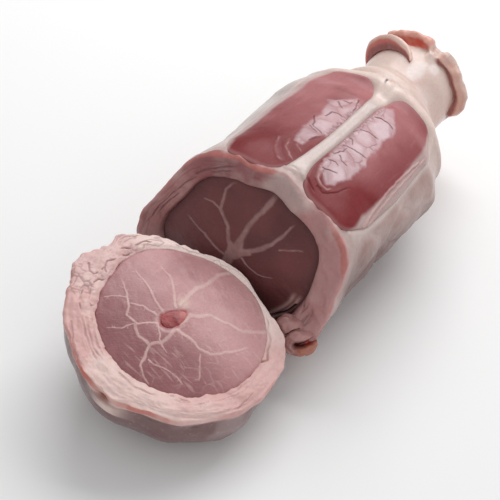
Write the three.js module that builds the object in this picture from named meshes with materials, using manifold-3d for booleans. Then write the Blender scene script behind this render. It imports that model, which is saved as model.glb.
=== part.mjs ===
// Raw lamb foreshank, with the slice that closed its thick end cut nearly free and laid open in front.
// The shank lies along +Y, cut end towards -Y and trimmed neck towards +Y, flat underside on z = 0.
// A point of the shank is first given as (radius, station, angle): the angle turns from +X to +Z,
// and the station is the distance behind the cut. shankPoint() turns that into millimetres.
// A roll is an angle counted from +Z towards +X instead.

import * as THREE from 'three';
import { mergeVertices } from 'three/addons/utils/BufferGeometryUtils.js';
import Module from 'manifold-3d';

const wasm = await Module();
wasm.setup();

// Driving dimensions, in millimetres and degrees. A swell is [angle, half width, amount]: a smooth
// bump of an outline at that angle. A line is a list of [station, value].

const FIT_GAP = 0.3;

const shank = {
  radius: 40,
  shoulder: 86,
  neckStart: 103,
  neckRadius: 17.6,
  segments: 56,
  rowStep: 4.4,
};
shank.radii = [
  [0, shank.radius],
  [45, shank.radius - 0.6],
  [70, shank.radius - 2.6],
  [shank.shoulder, shank.radius - 8],
  [96, 22.8],
  [105, shank.neckRadius - 0.6],
  [115, shank.neckRadius + 0.8],
  [126.5, shank.neckRadius + 1],
];
shank.heightOverWidth = [[0, 0.81], [50, 0.77], [78, 0.77], [shank.neckStart, 1]];
shank.middleHeights = [[0, 31.5], [50, 29.4], [75, 29.4], [shank.neckStart, 33]];

// The cut is no true circle: full at its upper right and upper left, and drawn in where the fat
// between the two muscles reaches it. It leans back, less so below its middle.
const cut = {
  swells: [
    [28, 17, 0.09],
    [62, 10, -0.05],
    [93, 14, -0.07],
    [128, 14, 0.02],
    [156, 14, -0.06],
    [188, 20, 0.07],
  ],
  reach: 30,
  slope: 0.593,
  slopeBelow: 0.3,
  slopeBlend: 16,
  slopeFade: 1.25,
  innerRadius: 30.4,
  leanAside: 1.8,
  recessDepth: 4.5,
  domeHeight: 1.6,
  crag: 1.1,
};

// All along its body the shank is drawn in at its lower right and full at its upper left.
const bodySwells = [[-35, 22, -0.03], [150, 24, 0.03]];

// The flap at the lowest corner of the rim, where the slice still hangs on.
const tip = { angle: -31, halfAngle: 9, length: 9, out: 1.5, forward: 3.5 };

const core = {
  waistRadius: 25.5,
  waistStation: 26,
  waistEnd: 46,
  endStation: 74,
  endRadius: 19,
};

const lobeCorner = 3.2;
const lobePillow = 3.4;
const pocketOpening = 7;
const lobes = [
  { name: 'muscle_left', roll: -13.5, halfRoll: 24.5, front: 2.8, back: 85, bulge: 2.4, depth: 6 },
  { name: 'muscle_right', roll: 40, halfRoll: 23, front: 2.8, back: 84, bulge: 2.6, depth: 6 },
];

const relief = {
  cordRoll: 13,
  cordHalfRoll: 4.5,
  cordHeight: 1.5,
  bandStation: 89,
  bandHalfLength: 5,
  bandHeight: 1.2,
  bandRoll: 20,
  bandHalfRoll: 60,
  flankRoll: 88,
  flankHalfRoll: 30,
  flankHeight: 1.5,
  flankSize: 15,
  unevenness: 0.5,
  unevennessSize: 11,
};

// The trimmed skin at the end of the neck, rolled back into an uneven collar. At its upper left it
// stands out furthest and reaches forwards over the neck, and at its upper right it has a notch.
const collar = {
  start: 115,
  end: 126.5,
  lipStation: 121.5,
  lipHalfLength: 4.4,
  lipHeight: 2.6,
  growFrom: 114,
  growTo: 120,
  heightSwells: [[150, 32, 3.2], [110, 16, 1.6], [66, 9, -1.3], [18, 32, 1.4]],
  reachSwells: [[120, 34, 4.5]],
  rowStep: 2.6,
};

const slice = {
  centre: [-2, -33.5, 30.6],
  lean: [0.287, 0, 0.958],
  leanRadius: 30.3,
  leanOffset: [3.2, 0.2],
  leanSwells: [[150, 26, 2.4]],
  ringRadius: 38,
  ringOffset: [3.2, -5.4],
  ringSwells: [[163, 29, 6.3], [246, 22, -3], [291, 12, -2.2], [25, 14, 1.4], [58, 16, -2], [112, 14, -1.4]],
  leanDepth: 13,
  domeHeight: 4.6,
  wallHeight: 7,
  bowlDepth: 29.5,
  bowlRound: 0.9,
  bowlSteps: 8,
  ringCrag: 0.9,
  segments: 56,
};

// The fold of fat that the slice still hangs by, at the lowest corner of the cut.
const hinge = { centre: [29.5, -8, 18.2], size: [8.5, 5.6, 5.4], turn: 32, lump: 0.9, lumpSize: 0.8 };

const marrow = {
  centre: [1.2, -3.2],
  halfLength: 4.9,
  halfWidth: 3,
  depth: 3.4,
  proud: 0.5,
  sunk: 0.4,
  turn: 70,
  taper: 0.3,
  dimple: 6,
};

const colours = {
  fat: 0xc8b0aa,
  lean: 0x7a4a4c,
  muscle: 0x96585f,
  sliceFat: 0xd4b4ae,
  sliceLean: 0xb07c7e,
  marrow: 0xa55457,
};

// Small numeric helpers

const radians = (degrees) => (degrees * Math.PI) / 180;
const clamp01 = (value) => Math.min(1, Math.max(0, value));
const mix = (from, to, share) => from + (to - from) * share;

function smoothStep(from, to, value) {
  const share = clamp01((value - from) / (to - from));
  return share * share * (3 - 2 * share);
}

// A smooth hump of height 1 around zero.
const hump = (distance, width) => Math.exp(-((distance / width) ** 2));

// The distance between two angles, in degrees, from -180 to 180.
const turnBetween = (a, b) => ((((a - b + 180) % 360) + 360) % 360) - 180;

// A value with the swells at one angle added.
function swollen(value, swells, angle) {
  const at = ([middle, width, amount]) => amount * hump(turnBetween(angle, middle), width);
  return swells.reduce((sum, swell) => sum + at(swell), value);
}

// A fixed pseudo-random number from -1 to 1 for each cell of a grid.
function cellNoise(ix, iy, iz) {
  let seed = (ix * 374761393 + iy * 668265263 + iz * 2147483647) | 0;
  seed = Math.imul(seed ^ (seed >>> 13), 1274126177);
  seed ^= seed >>> 16;
  return (seed >>> 0) / 2147483648 - 1;
}

// Smooth noise from -1 to 1 with features of the given size.
function noise(x, y, z, size) {
  const px = x / size;
  const py = y / size;
  const pz = z / size;
  const ix = Math.floor(px);
  const iy = Math.floor(py);
  const iz = Math.floor(pz);
  const ease = (t) => t * t * (3 - 2 * t);
  const fx = ease(px - ix);
  const fy = ease(py - iy);
  const fz = ease(pz - iz);
  let total = 0;
  for (let corner = 0; corner < 8; corner += 1) {
    const cx = corner & 1;
    const cy = (corner >> 1) & 1;
    const cz = corner >> 2;
    const weight = (cx ? fx : 1 - fx) * (cy ? fy : 1 - fy) * (cz ? fz : 1 - fz);
    total += weight * cellNoise(ix + cx, iy + cy, iz + cz);
  }
  return total;
}

// The value of a line at one station.
function alongLine(line, station) {
  if (station <= line[0][0]) return line[0][1];
  for (let i = 1; i < line.length; i += 1) {
    if (station <= line[i][0]) {
      const share = smoothStep(line[i - 1][0], line[i][0], station);
      return mix(line[i - 1][1], line[i][1], share);
    }
  }
  return line[line.length - 1][1];
}

// Shank form

// How strongly a shape belonging to the cut shows at a station behind it.
const nearCut = (station) => 1 - smoothStep(0, cut.reach, station);

function shankPoint(radius, station, angle) {
  const turn = radians(angle);
  const outline = swollen(mix(1, swollen(1, cut.swells, angle), nearCut(station)), bodySwells, angle);
  const x = radius * outline * Math.cos(turn);
  const rise = radius * outline * alongLine(shank.heightOverWidth, station) * Math.sin(turn);
  const slope = mix(cut.slopeBelow, cut.slope, smoothStep(-cut.slopeBlend, cut.slopeBlend, rise));
  const fade = clamp01(1 - station / shank.shoulder) ** cut.slopeFade;
  const inside = 1 - smoothStep(cut.innerRadius + 1, shank.radius, radius);
  const aside = cut.leanAside * nearCut(station) * inside;
  const height = Math.max(0, alongLine(shank.middleHeights, station) + rise);
  return new THREE.Vector3(x - aside, station + rise * slope * fade, height);
}

// Relief of the fat: the cord between the muscles, the band across their far end, the lumps of the
// right flank and a soft unevenness everywhere.
function jacketRelief(station, angle) {
  const roll = turnBetween(90, angle);
  const beforeNeck = 1 - smoothStep(shank.shoulder - 2, shank.shoulder + 10, station);
  const onBody = smoothStep(2, 10, station) * beforeNeck;
  const { x, y, z } = shankPoint(shank.radius, station, angle);
  const cord = relief.cordHeight * hump(roll - relief.cordRoll, relief.cordHalfRoll) * onBody;
  const overTop = hump(roll - relief.bandRoll, relief.bandHalfRoll);
  const band = relief.bandHeight * hump(station - relief.bandStation, relief.bandHalfLength) * overTop;
  const onFlank = hump(roll - relief.flankRoll, relief.flankHalfRoll) * onBody;
  const lumps = relief.flankHeight * noise(x, y, z, relief.flankSize) * onFlank;
  return cord + band + lumps + relief.unevenness * noise(x + 50, y, z, relief.unevennessSize);
}

// Radius and station of the neck's skin once it is rolled back.
function rolledBack(radius, station, angle) {
  const share = smoothStep(collar.growFrom, collar.growTo, station);
  const lip = collar.lipHeight * hump(station - collar.lipStation, collar.lipHalfLength);
  return {
    radius: radius + share * swollen(0, collar.heightSwells, angle) + lip,
    station: station - share * swollen(0, collar.reachSwells, angle),
  };
}

// Crags of the cut fat.
const cragAt = ({ x, y, z }, amount) => amount * (noise(x, y, z, 7) + 0.6 * noise(x, y, z, 3.6));

// Turned profiles: each point is [radius, station, kind]

function jacketProfile() {
  const points = [[0, collar.end - 4, 'end'], [8, collar.end - 4, 'end'], [14, collar.end - 2.4, 'end']];
  points.push([shank.neckRadius + 0.8, collar.end, 'skin']);
  const addSkin = (station) => points.push([alongLine(shank.radii, station), station, 'skin']);
  for (let station = collar.end - 1.5; station > collar.start; station -= collar.rowStep) addSkin(station);
  for (let station = collar.start; station > 12; station -= shank.rowStep) addSkin(station);
  for (const station of [9, 5.5, 2.6]) addSkin(station);
  points.push([shank.radius - 0.9, 0.6, 'crest']);
  points.push([shank.radius - 3.2, -0.5, 'crest']);
  points.push([cut.innerRadius + 3.2, 0.5, 'crest']);
  points.push([cut.innerRadius + 0.9, 2, 'wall']);
  points.push([cut.innerRadius, cut.recessDepth - 0.6, 'wall']);
  points.push(...coreProfile(0).reverse());
  return points;
}

// The lean core, from the end of its axis to the edge of its recessed face.
function coreProfile(inset) {
  const edgeRadius = cut.innerRadius - 0.2 - inset;
  return [
    [0, core.endStation - inset, 'core'],
    [core.endRadius * 0.55, core.endStation - 2.2 - inset, 'core'],
    [core.endRadius - inset, core.endStation - 11, 'core'],
    [core.waistRadius - inset, core.waistEnd, 'core'],
    [core.waistRadius - inset, core.waistStation, 'core'],
    [edgeRadius, cut.recessDepth + 6, 'core'],
    [edgeRadius, cut.recessDepth + 2, 'core'],
  ];
}

// Each point of a lathe is moved to where place(radius, station, angle, kind) puts it.
function turned(profile, segments, place) {
  const line = profile.map(([radius, station]) => new THREE.Vector2(Math.max(radius, 0), station));
  const geometry = new THREE.LatheGeometry(line, segments);
  const position = geometry.attributes.position;
  for (let i = 0; i < position.count; i += 1) {
    const column = Math.floor(i / profile.length) % segments;
    const [radius, station, kind] = profile[i % profile.length];
    const angle = radius === 0 ? 0 : column * (360 / segments);
    const point = place(radius, station, angle, kind);
    position.setXYZ(i, point.x, point.y, point.z);
  }
  return geometry;
}

function jacketPoint(radius, station, angle, kind) {
  let r = radius;
  let s = station;
  if (kind === 'skin') {
    const rolled = rolledBack(radius, station, angle);
    r = rolled.radius + jacketRelief(station, angle) * (1 - smoothStep(108, 114, station));
    s = rolled.station;
  }
  if (kind === 'crest' || kind === 'wall') {
    const base = shankPoint(r, s, angle);
    const amount = kind === 'crest' ? cut.crag : cut.crag / 2;
    r += cragAt(base, amount) * 0.6;
    s += cragAt(base.addScalar(31), amount);
  }
  if (kind !== 'core') {
    const atTip = hump(turnBetween(angle, tip.angle), tip.halfAngle);
    const share = atTip * (1 - smoothStep(0, tip.length, station));
    r += tip.out * share;
    s -= tip.forward * share;
  }
  return shankPoint(r, s, angle);
}

// Solids

function toSolid(geometry) {
  const bare = geometry.clone();
  bare.deleteAttribute('normal');
  bare.deleteAttribute('uv');
  const merged = mergeVertices(bare, 1e-4);
  const vertProperties = Float32Array.from(merged.attributes.position.array);
  const triVerts = Uint32Array.from(merged.index.array);
  const solid = new wasm.Manifold(new wasm.Mesh({ numProp: 3, vertProperties, triVerts }));
  if (solid.volume() > 0) return solid;
  for (let i = 0; i < triVerts.length; i += 3) triVerts.subarray(i, i + 3).reverse();
  return new wasm.Manifold(new wasm.Mesh({ numProp: 3, vertProperties, triVerts }));
}

function toMesh(name, solid, color, roughness) {
  const { vertProperties, triVerts } = solid.getMesh();
  const geometry = new THREE.BufferGeometry();
  geometry.setAttribute('position', new THREE.BufferAttribute(Float32Array.from(vertProperties), 3));
  geometry.setIndex(new THREE.BufferAttribute(Uint32Array.from(triVerts), 1));
  geometry.computeVertexNormals();
  const mesh = new THREE.Mesh(geometry, new THREE.MeshStandardMaterial({ color, roughness, metalness: 0 }));
  mesh.name = name;
  return mesh;
}

// How far a circle is pushed out towards a rounded square, by the turn round it.
const squareness = (turn) =>
  (Math.abs(Math.cos(turn)) ** lobeCorner + Math.abs(Math.sin(turn)) ** lobeCorner) ** (-1 / lobeCorner);

// A muscle is a pillow with a rounded oblong outline that lies on the curve of the jacket. The pocket
// that holds it is the same form, a little larger and open at the top.
function lobeSolid(lobe, grow, above) {
  const geometry = new THREE.SphereGeometry(1, 28, 14);
  const position = geometry.attributes.position;
  const middle = (lobe.front + lobe.back) / 2;
  const halfLength = (lobe.back - lobe.front) / 2 + grow;
  const halfRoll = lobe.halfRoll + (grow / shank.radius) * (180 / Math.PI);
  for (let i = 0; i < position.count; i += 1) {
    const height = position.getY(i);
    const turn = Math.atan2(position.getZ(i), position.getX(i));
    const width = (1 - Math.abs(height) ** lobePillow) ** (1 / lobePillow) * squareness(turn);
    const station = middle + halfLength * width * Math.cos(turn);
    const roll = lobe.roll + halfRoll * width * Math.sin(turn);
    const offset = height * (height > 0 ? above : lobe.depth + grow);
    const point = shankPoint(alongLine(shank.radii, station) + offset, station, 90 - roll);
    position.setXYZ(i, point.x, point.y, point.z);
  }
  return toSolid(geometry);
}

function shankLeanSolid() {
  const profile = coreProfile(FIT_GAP);
  const edgeRadius = cut.innerRadius - 0.2 - FIT_GAP;
  profile.push([edgeRadius - 1.2, cut.recessDepth + 0.2, 'face']);
  const rings = 5;
  for (let ring = rings; ring >= 0; ring -= 1) {
    const radius = ((edgeRadius - 3) * ring) / rings;
    const dome = cut.domeHeight * (1 - (radius / edgeRadius) ** 2);
    profile.push([radius, cut.recessDepth - dome, 'face']);
  }
  return toSolid(turned(profile, shank.segments, shankPoint));
}

// Slice form

const sliceUp = new THREE.Vector3(...slice.lean).normalize();
const sliceAlong = new THREE.Vector3(0, 1, 0);
const sliceAcross = new THREE.Vector3().crossVectors(sliceAlong, sliceUp).normalize();

// The distance from the marrow to a circle whose middle lies off the marrow.
function offCircle(radius, [across, along], angle) {
  const turn = radians(angle);
  const towards = across * Math.cos(turn) + along * Math.sin(turn);
  const aside = along * Math.cos(turn) - across * Math.sin(turn);
  return towards + Math.sqrt(radius * radius - aside * aside);
}

// Edge radii of the slice, measured from its marrow. Its fat is thin where it meets the shank and
// thick in front, and neither edge is a true circle.
const sliceInnerRadius = (angle) =>
  swollen(offCircle(slice.leanRadius, slice.leanOffset, angle), slice.leanSwells, angle);
const sliceOuterRadius = (angle) =>
  swollen(offCircle(slice.ringRadius, slice.ringOffset, angle), slice.ringSwells, angle);

function slicePoint(radius, height, angle) {
  const turn = radians(angle);
  const point = new THREE.Vector3(...slice.centre);
  point.addScaledVector(sliceAcross, radius * Math.cos(turn));
  point.addScaledVector(sliceAlong, radius * Math.sin(turn));
  point.addScaledVector(sliceUp, height);
  point.z = Math.max(0, point.z);
  return point;
}

// In this profile a radius up to 1 runs to the inner edge of the ring, and from 1 to 2 across it.
// Below the wall it is a share of the outer radius, with 2 for the whole.
function sliceProfile() {
  const points = [[0, -slice.leanDepth, 'pocket'], [0.6, -slice.leanDepth, 'pocket']];
  points.push([0.96, -slice.leanDepth + 1.5, 'pocket']);
  points.push([1, -slice.leanDepth + 5, 'pocket'], [1, -2, 'pocket']);
  points.push([1.06, 0.6, 'ring'], [1.3, 1.3, 'ring'], [1.55, 0.9, 'ring'], [1.8, 0.5, 'ring']);
  points.push([1.97, -0.5, 'crest'], [1.98, -3, 'wall'], [1.94, -slice.wallHeight, 'wall']);
  for (let step = 1; step <= slice.bowlSteps; step += 1) {
    const turn = (Math.PI / 2) * (step / slice.bowlSteps);
    const radius = step === slice.bowlSteps ? 0 : 1.94 * Math.cos(turn) ** slice.bowlRound;
    const height = -slice.wallHeight - (slice.bowlDepth - slice.wallHeight) * Math.sin(turn);
    points.push([radius, height, 'bowl']);
  }
  return points;
}

function sliceFatPoint(share, height, angle, kind) {
  const inner = sliceInnerRadius(angle);
  const outer = sliceOuterRadius(angle);
  if (kind === 'bowl' || kind === 'wall') return slicePoint((share / 2) * outer, height, angle);
  let radius = share <= 1 ? share * inner : mix(inner, outer, share - 1);
  let lift = height;
  if (kind !== 'pocket') {
    const base = slicePoint(radius, height, angle);
    const thick = smoothStep(1, 9, outer - inner);
    lift += cragAt(base, slice.ringCrag) * mix(0.2, 1, thick);
    if (kind === 'crest') radius += cragAt(base.addScalar(17), slice.ringCrag);
  }
  return slicePoint(radius, lift, angle);
}

// Radii in this profile are shares of the lean's own edge radius.
function sliceLeanSolid() {
  const floor = -slice.leanDepth + FIT_GAP;
  const edge = 1 - FIT_GAP / slice.leanRadius;
  const shoulder = 0.95;
  const profile = [[0, floor], [0.6, floor], [shoulder, floor + 1.5], [edge, floor + 5], [edge, -0.8]];
  const rings = 5;
  for (let ring = rings; ring >= 0; ring -= 1) {
    const share = (shoulder * ring) / rings;
    profile.push([share, ring === rings ? 0.5 : slice.domeHeight * (1 - share ** 2)]);
  }
  const place = (share, height, angle) => slicePoint(share * sliceInnerRadius(angle), height, angle);
  return toSolid(turned(profile, slice.segments, place));
}

// The marrow is a small pointed oval that lies in a dimple of the lean, a little off its middle.
function marrowSolid(grow) {
  const geometry = new THREE.SphereGeometry(1, 12, 8);
  const position = geometry.attributes.position;
  const turn = radians(marrow.turn);
  for (let i = 0; i < position.count; i += 1) {
    const height = position.getY(i);
    const along = position.getX(i);
    const length = along * (marrow.halfLength + grow);
    const width = position.getZ(i) * (1 - marrow.taper * along) * (marrow.halfWidth + grow);
    const lift = height * (height > 0 ? marrow.proud + grow * marrow.dimple : marrow.depth + grow);
    const x = marrow.centre[0] + length * Math.cos(turn) - width * Math.sin(turn);
    const y = marrow.centre[1] + length * Math.sin(turn) + width * Math.cos(turn);
    const angle = (Math.atan2(y, x) * 180) / Math.PI;
    const point = slicePoint(Math.hypot(x, y), slice.domeHeight + lift - marrow.sunk, angle);
    position.setXYZ(i, point.x, point.y, point.z);
  }
  return toSolid(geometry);
}

function hingeSolid(grow) {
  const geometry = new THREE.SphereGeometry(1, 14, 10);
  const position = geometry.attributes.position;
  for (let i = 0; i < position.count; i += 1) {
    const point = new THREE.Vector3().fromBufferAttribute(position, i);
    const lump = (hinge.lump / hinge.size[0]) * noise(point.x + 5, point.y, point.z + 9, hinge.lumpSize);
    const [x, y, z] = hinge.size.map((size) => size * (1 + lump) + grow);
    position.setXYZ(i, point.x * x, point.y * y, point.z * z);
  }
  geometry.rotateZ(radians(hinge.turn));
  geometry.translate(...hinge.centre);
  return toSolid(geometry);
}

// Assembly

let jacket = toSolid(turned(jacketProfile(), shank.segments, jacketPoint));
for (const lobe of lobes) jacket = jacket.subtract(lobeSolid(lobe, FIT_GAP, pocketOpening));
jacket = jacket.add(hingeSolid(0));
const ring = toSolid(turned(sliceProfile(), slice.segments, sliceFatPoint)).subtract(hingeSolid(FIT_GAP));
const sliceLean = sliceLeanSolid().subtract(marrowSolid(FIT_GAP));

const object = new THREE.Group();
object.add(toMesh('shank_fat', jacket, colours.fat, 0.5));
object.add(toMesh('shank_lean', shankLeanSolid(), colours.lean, 0.45));
for (const lobe of lobes) object.add(toMesh(lobe.name, lobeSolid(lobe, 0, lobe.bulge), colours.muscle, 0.25));
object.add(toMesh('slice_fat', ring, colours.sliceFat, 0.6));
object.add(toMesh('slice_lean', sliceLean, colours.sliceLean, 0.4));
object.add(toMesh('slice_marrow', marrowSolid(0), colours.marrow, 0.35));

// The origin is the middle of the underside.
const box = new THREE.Box3().setFromObject(object);
object.position.set(-(box.min.x + box.max.x) / 2, -(box.min.y + box.max.y) / 2, -box.min.z);

const part = new THREE.Group();
part.add(object);

export default part;
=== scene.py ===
import math
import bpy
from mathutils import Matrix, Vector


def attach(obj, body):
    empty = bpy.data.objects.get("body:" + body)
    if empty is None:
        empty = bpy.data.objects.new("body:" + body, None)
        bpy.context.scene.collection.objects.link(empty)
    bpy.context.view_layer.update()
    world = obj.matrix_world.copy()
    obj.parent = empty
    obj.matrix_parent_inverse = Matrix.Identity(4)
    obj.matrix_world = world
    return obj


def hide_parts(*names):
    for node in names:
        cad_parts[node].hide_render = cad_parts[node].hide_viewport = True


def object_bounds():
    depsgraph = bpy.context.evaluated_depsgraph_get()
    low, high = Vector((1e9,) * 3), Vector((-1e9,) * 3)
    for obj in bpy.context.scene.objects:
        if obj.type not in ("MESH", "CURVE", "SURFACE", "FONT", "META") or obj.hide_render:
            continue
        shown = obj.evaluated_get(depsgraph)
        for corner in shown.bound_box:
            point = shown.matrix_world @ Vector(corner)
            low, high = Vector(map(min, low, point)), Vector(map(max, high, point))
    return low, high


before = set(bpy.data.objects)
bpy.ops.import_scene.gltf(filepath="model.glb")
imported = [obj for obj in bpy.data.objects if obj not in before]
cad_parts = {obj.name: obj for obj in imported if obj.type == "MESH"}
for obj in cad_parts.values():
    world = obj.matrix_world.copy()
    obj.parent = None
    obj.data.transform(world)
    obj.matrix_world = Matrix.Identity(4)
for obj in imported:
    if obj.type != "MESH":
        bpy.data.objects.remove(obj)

from types import SimpleNamespace

import bmesh
import bpy
import numpy as np
from mathutils import Vector

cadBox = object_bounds()  # the box of the solids, before anything is added
mm = 0.001


# Numeric helpers: angles are in degrees and lengths in millimetres until a mesh is written

def smoothStep(low, high, value):
    share = np.clip((value - low) / (high - low), 0, 1)
    return share * share * (3 - 2 * share)


def mix(first, second, share):
    return first + (second - first) * share


def hump(distance, width):
    return np.exp(-(distance / width) ** 2)


def between(low, high, value, soft):  # 1 from low to high, fading over the soft width outside
    return smoothStep(low - soft, low, value) * (1 - smoothStep(high, high + soft, value))


def inRange(limits, value):  # rises from the first limit to the second, falls from the third to the last
    first, full, fading, last = limits
    return smoothStep(first, full, value) * (1 - smoothStep(fading, last, value))


def onArc(form, name, angle):  # 1 on an arc that the form names, fading past its ends
    first, last, soft = form["arcs"][name]
    return between(first, last, angle, soft)


def turnBetween(a, b):
    return (a - b + 180) % 360 - 180


def swollen(value, swells, angle):
    for middle, width, amount in swells:
        value = value + amount * hump(turnBetween(angle, middle), width)
    return value


def alongLine(line, station):
    value = line[0][1]
    for (start, low), (end, high) in zip(line, line[1:]):
        value = value + (high - low) * smoothStep(start, end, station)
    return value


def stack(*columns):
    return np.stack(np.broadcast_arrays(*columns), axis=1).astype(float)


def gridValue(ix, iy, iz):  # one fixed random number from -1 to 1 for each cell of a grid
    seed = (ix * 374761393 + iy * 668265263 + iz * 2147483647) & 0xFFFFFFFF
    seed = ((seed ^ (seed >> 13)) * 1274126177) & 0xFFFFFFFF
    return (seed ^ (seed >> 16)) / 2147483648 - 1


def noise(points, size, shift=0.0):  # smooth lumps of the given size, from -1 to 1
    scaled = (points + shift) / size
    cell = np.floor(scaled).astype(np.int64)
    part = scaled - cell
    part = part * part * (3 - 2 * part)
    total = np.zeros(len(points))
    for corner in range(8):
        step = np.array([corner & 1, corner >> 1 & 1, corner >> 2])
        weight = np.prod(np.where(step == 1, part, 1 - part), axis=1)
        total += weight * gridValue(*(cell + step).T)
    return total


octaveTurn = np.array([[0.8, 0.48, -0.36], [-0.6, 0.64, -0.48], [0, 0.6, 0.8]])


def rough(points, size, octaves=3, shift=0.0):  # lumps with finer lumps on them, about -1 to 1
    total = np.zeros(len(points))
    for octave in range(octaves):
        total += noise(points, size / 2 ** octave, shift + 17.3 * octave) / 2 ** octave
        points = points @ octaveTurn
    return total / 1.4


def patches(points, low, high, size, octaves=3, shift=0.0):  # 0 to 1: soft patches where the lumps are high
    return smoothStep(low, high, rough(points, size, octaves, shift))


def cells(points, size, shift=0.0):  # distance to the nearest cell border, and a number for each cell
    scaled = (points + shift) / size
    home = np.floor(scaled).astype(np.int64)
    nearest = np.full(len(points), 9.0)
    second = np.full(len(points), 9.0)
    value = np.zeros(len(points))
    for index in range(27):
        cell = home + np.array([index % 3 - 1, index // 3 % 3 - 1, index // 9 - 1])
        places = [gridValue(*(cell + offset).T) for offset in (101, 211, 307)]
        distance = np.linalg.norm(cell + 0.5 + 0.45 * np.stack(places, axis=1) - scaled, axis=1)
        closer = distance < nearest
        second = np.where(closer, nearest, np.minimum(second, distance))
        value = np.where(closer, places[0], value)
        nearest = np.where(closer, distance, nearest)
    return (second - nearest) * size / 2, value


def warped(points, size, amount, shift=0.0):
    moves = [rough(points, size, 2, shift + 31 * axis) for axis in range(3)]
    return points + amount * np.stack(moves, axis=1)


def wrinkles(points, size, width, shift=0.0):  # thin winding lines where a noise passes zero
    return 1 - smoothStep(0, width, np.abs(rough(points, size, 2, shift)))


def routeDistance(x, y, route):  # distance to a line of points, and how far along it the nearest place is
    best = np.full(len(x), 1e9)
    along = np.zeros(len(x))
    pieces = list(zip(route, route[1:]))
    for number, ((x0, y0), (x1, y1)) in enumerate(pieces):
        dx, dy = x1 - x0, y1 - y0
        share = np.clip(((x - x0) * dx + (y - y0) * dy) / (dx * dx + dy * dy), 0, 1)
        distance = np.hypot(x - x0 - share * dx, y - y0 - share * dy)
        along = np.where(distance < best, (number + share) / len(pieces), along)
        best = np.minimum(best, distance)
    return best, along


def nearRoute(x, y, route, wide, narrow, fadeFrom=1.0):
    # 1 on a line that gets narrower along it and may fade away towards its end, 0 away from it
    reach = max(wide, narrow) + 0.3
    xs, ys = zip(*route)
    close = (x > min(xs) - reach) & (x < max(xs) + reach) & (y > min(ys) - reach) & (y < max(ys) + reach)
    share = np.zeros(len(x))
    distance, along = routeDistance(x[close], y[close], route)
    width = mix(wide, narrow, along) / 2
    line = 1 - smoothStep(width * 0.4, width * 1.4 + 0.12, distance)
    share[close] = line * (1 - smoothStep(fadeFrom, 1.001, along))
    return share


def anyRoute(x, y, routes, wide, narrow, fadeFrom=1.0):
    share = np.zeros(len(x))
    for route in routes:
        share = np.maximum(share, nearRoute(x, y, route, wide, narrow, fadeFrom))
    return share


def insideOutline(x, y, outline):  # distance to a closed outline, above zero inside it
    closed = outline + outline[:1]
    distance = routeDistance(x, y, closed)[0]
    inside = np.zeros(len(x), bool)
    for (x0, y0), (x1, y1) in zip(closed, closed[1:]):
        crosses = (y0 > y) != (y1 > y)
        inside ^= crosses & (x < x0 + (y - y0) * (x1 - x0) / ((y1 - y0) or 1e-9))
    return np.where(inside, distance, -distance)


def polar(route):  # points given as radius and angle, as points across and up
    turned = [(radius, math.radians(angle)) for radius, angle in route]
    return [(radius * math.cos(turn), radius * math.sin(turn)) for radius, turn in turned]


def facePlace(radius, angle):  # a place on a flat face, across and up from its middle
    turn = np.radians(angle)
    return stack(radius * np.cos(turn), radius * np.sin(turn), 0)


def curveThrough(points, count, weights=(1, 1)):  # evenly spaced points on a curve through the given ones
    points = np.array(points, float) * weights
    ends = np.vstack([2 * points[0] - points[1], points, 2 * points[-1] - points[-2]])
    fine = []
    for a, b, c, d in zip(ends, ends[1:], ends[2:], ends[3:]):
        for t in np.linspace(0, 1, 16, endpoint=False):
            fine.append(0.5 * (2 * b + (c - a) * t + (2 * a - 5 * b + 4 * c - d) * t * t
                               + (3 * b - a - 3 * c + d) * t ** 3))
    fine = np.array(fine + [points[-1]])
    length = np.concatenate([[0], np.cumsum(np.linalg.norm(np.diff(fine, axis=0), axis=1))])
    wanted = np.linspace(0, length[-1], count)
    return np.stack([np.interp(wanted, length, column) for column in fine.T], axis=1) / weights


# Mesh helpers

def ringGrid(rows, steps):
    # a grid rolled up into a flat web of rings: a ring's radius less one is its row
    bm = bmesh.new()
    bmesh.ops.create_grid(bm, x_segments=steps, y_segments=rows - 1, size=1)
    for vert in bm.verts:
        row = round((vert.co.y + 1) / 2 * (rows - 1))
        turn = 0 if row in (0, rows - 1) else (vert.co.x + 1) * math.pi
        vert.co = ((row + 1) * math.cos(turn), (row + 1) * math.sin(turn), 0)
    bmesh.ops.remove_doubles(bm, verts=bm.verts, dist=1e-4)
    return bm


def ringBands(parts, steps):
    # rings round one middle, part after part, and each point's row, angle, two places and part
    kinds = np.concatenate([np.full(len(part), kind) for kind, part in enumerate(parts)])
    table = np.concatenate([np.array(part, float) for part in parts])
    bm = ringGrid(len(table), steps)
    co = np.array([vert.co[:2] for vert in bm.verts])
    row = np.rint(np.hypot(co[:, 0], co[:, 1])).astype(int) - 1
    angle = np.degrees(np.arctan2(co[:, 1], co[:, 0])) % 360
    return bm, row, angle, table[row, 0], table[row, 1], kinds[row]


def placed(bm, points):
    for vert, point in zip(bm.verts, points):
        vert.co = point
    bmesh.ops.recalc_face_normals(bm, faces=bm.faces)
    bm.normal_update()


def displaced(bm, points, height):
    placed(bm, points)
    normals = np.array([vert.normal for vert in bm.verts])
    return points + normals * height[:, None]


def insideBox(points):  # whatever reaches past the solids' box is pressed back softly
    low, high = [np.array(corner) / mm for corner in cadBox]
    soft = 0.7
    for axis in range(3):
        over = np.maximum(points[:, axis] - (high[axis] - soft), 0)
        points[:, axis] -= over - soft * (1 - np.exp(-over / soft))
        if axis < 2:
            under = np.maximum(low[axis] + soft - points[:, axis], 0)
            points[:, axis] += under - soft * (1 - np.exp(-under / soft))
    points[:, 2] = np.maximum(points[:, 2], 0)
    return points


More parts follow.
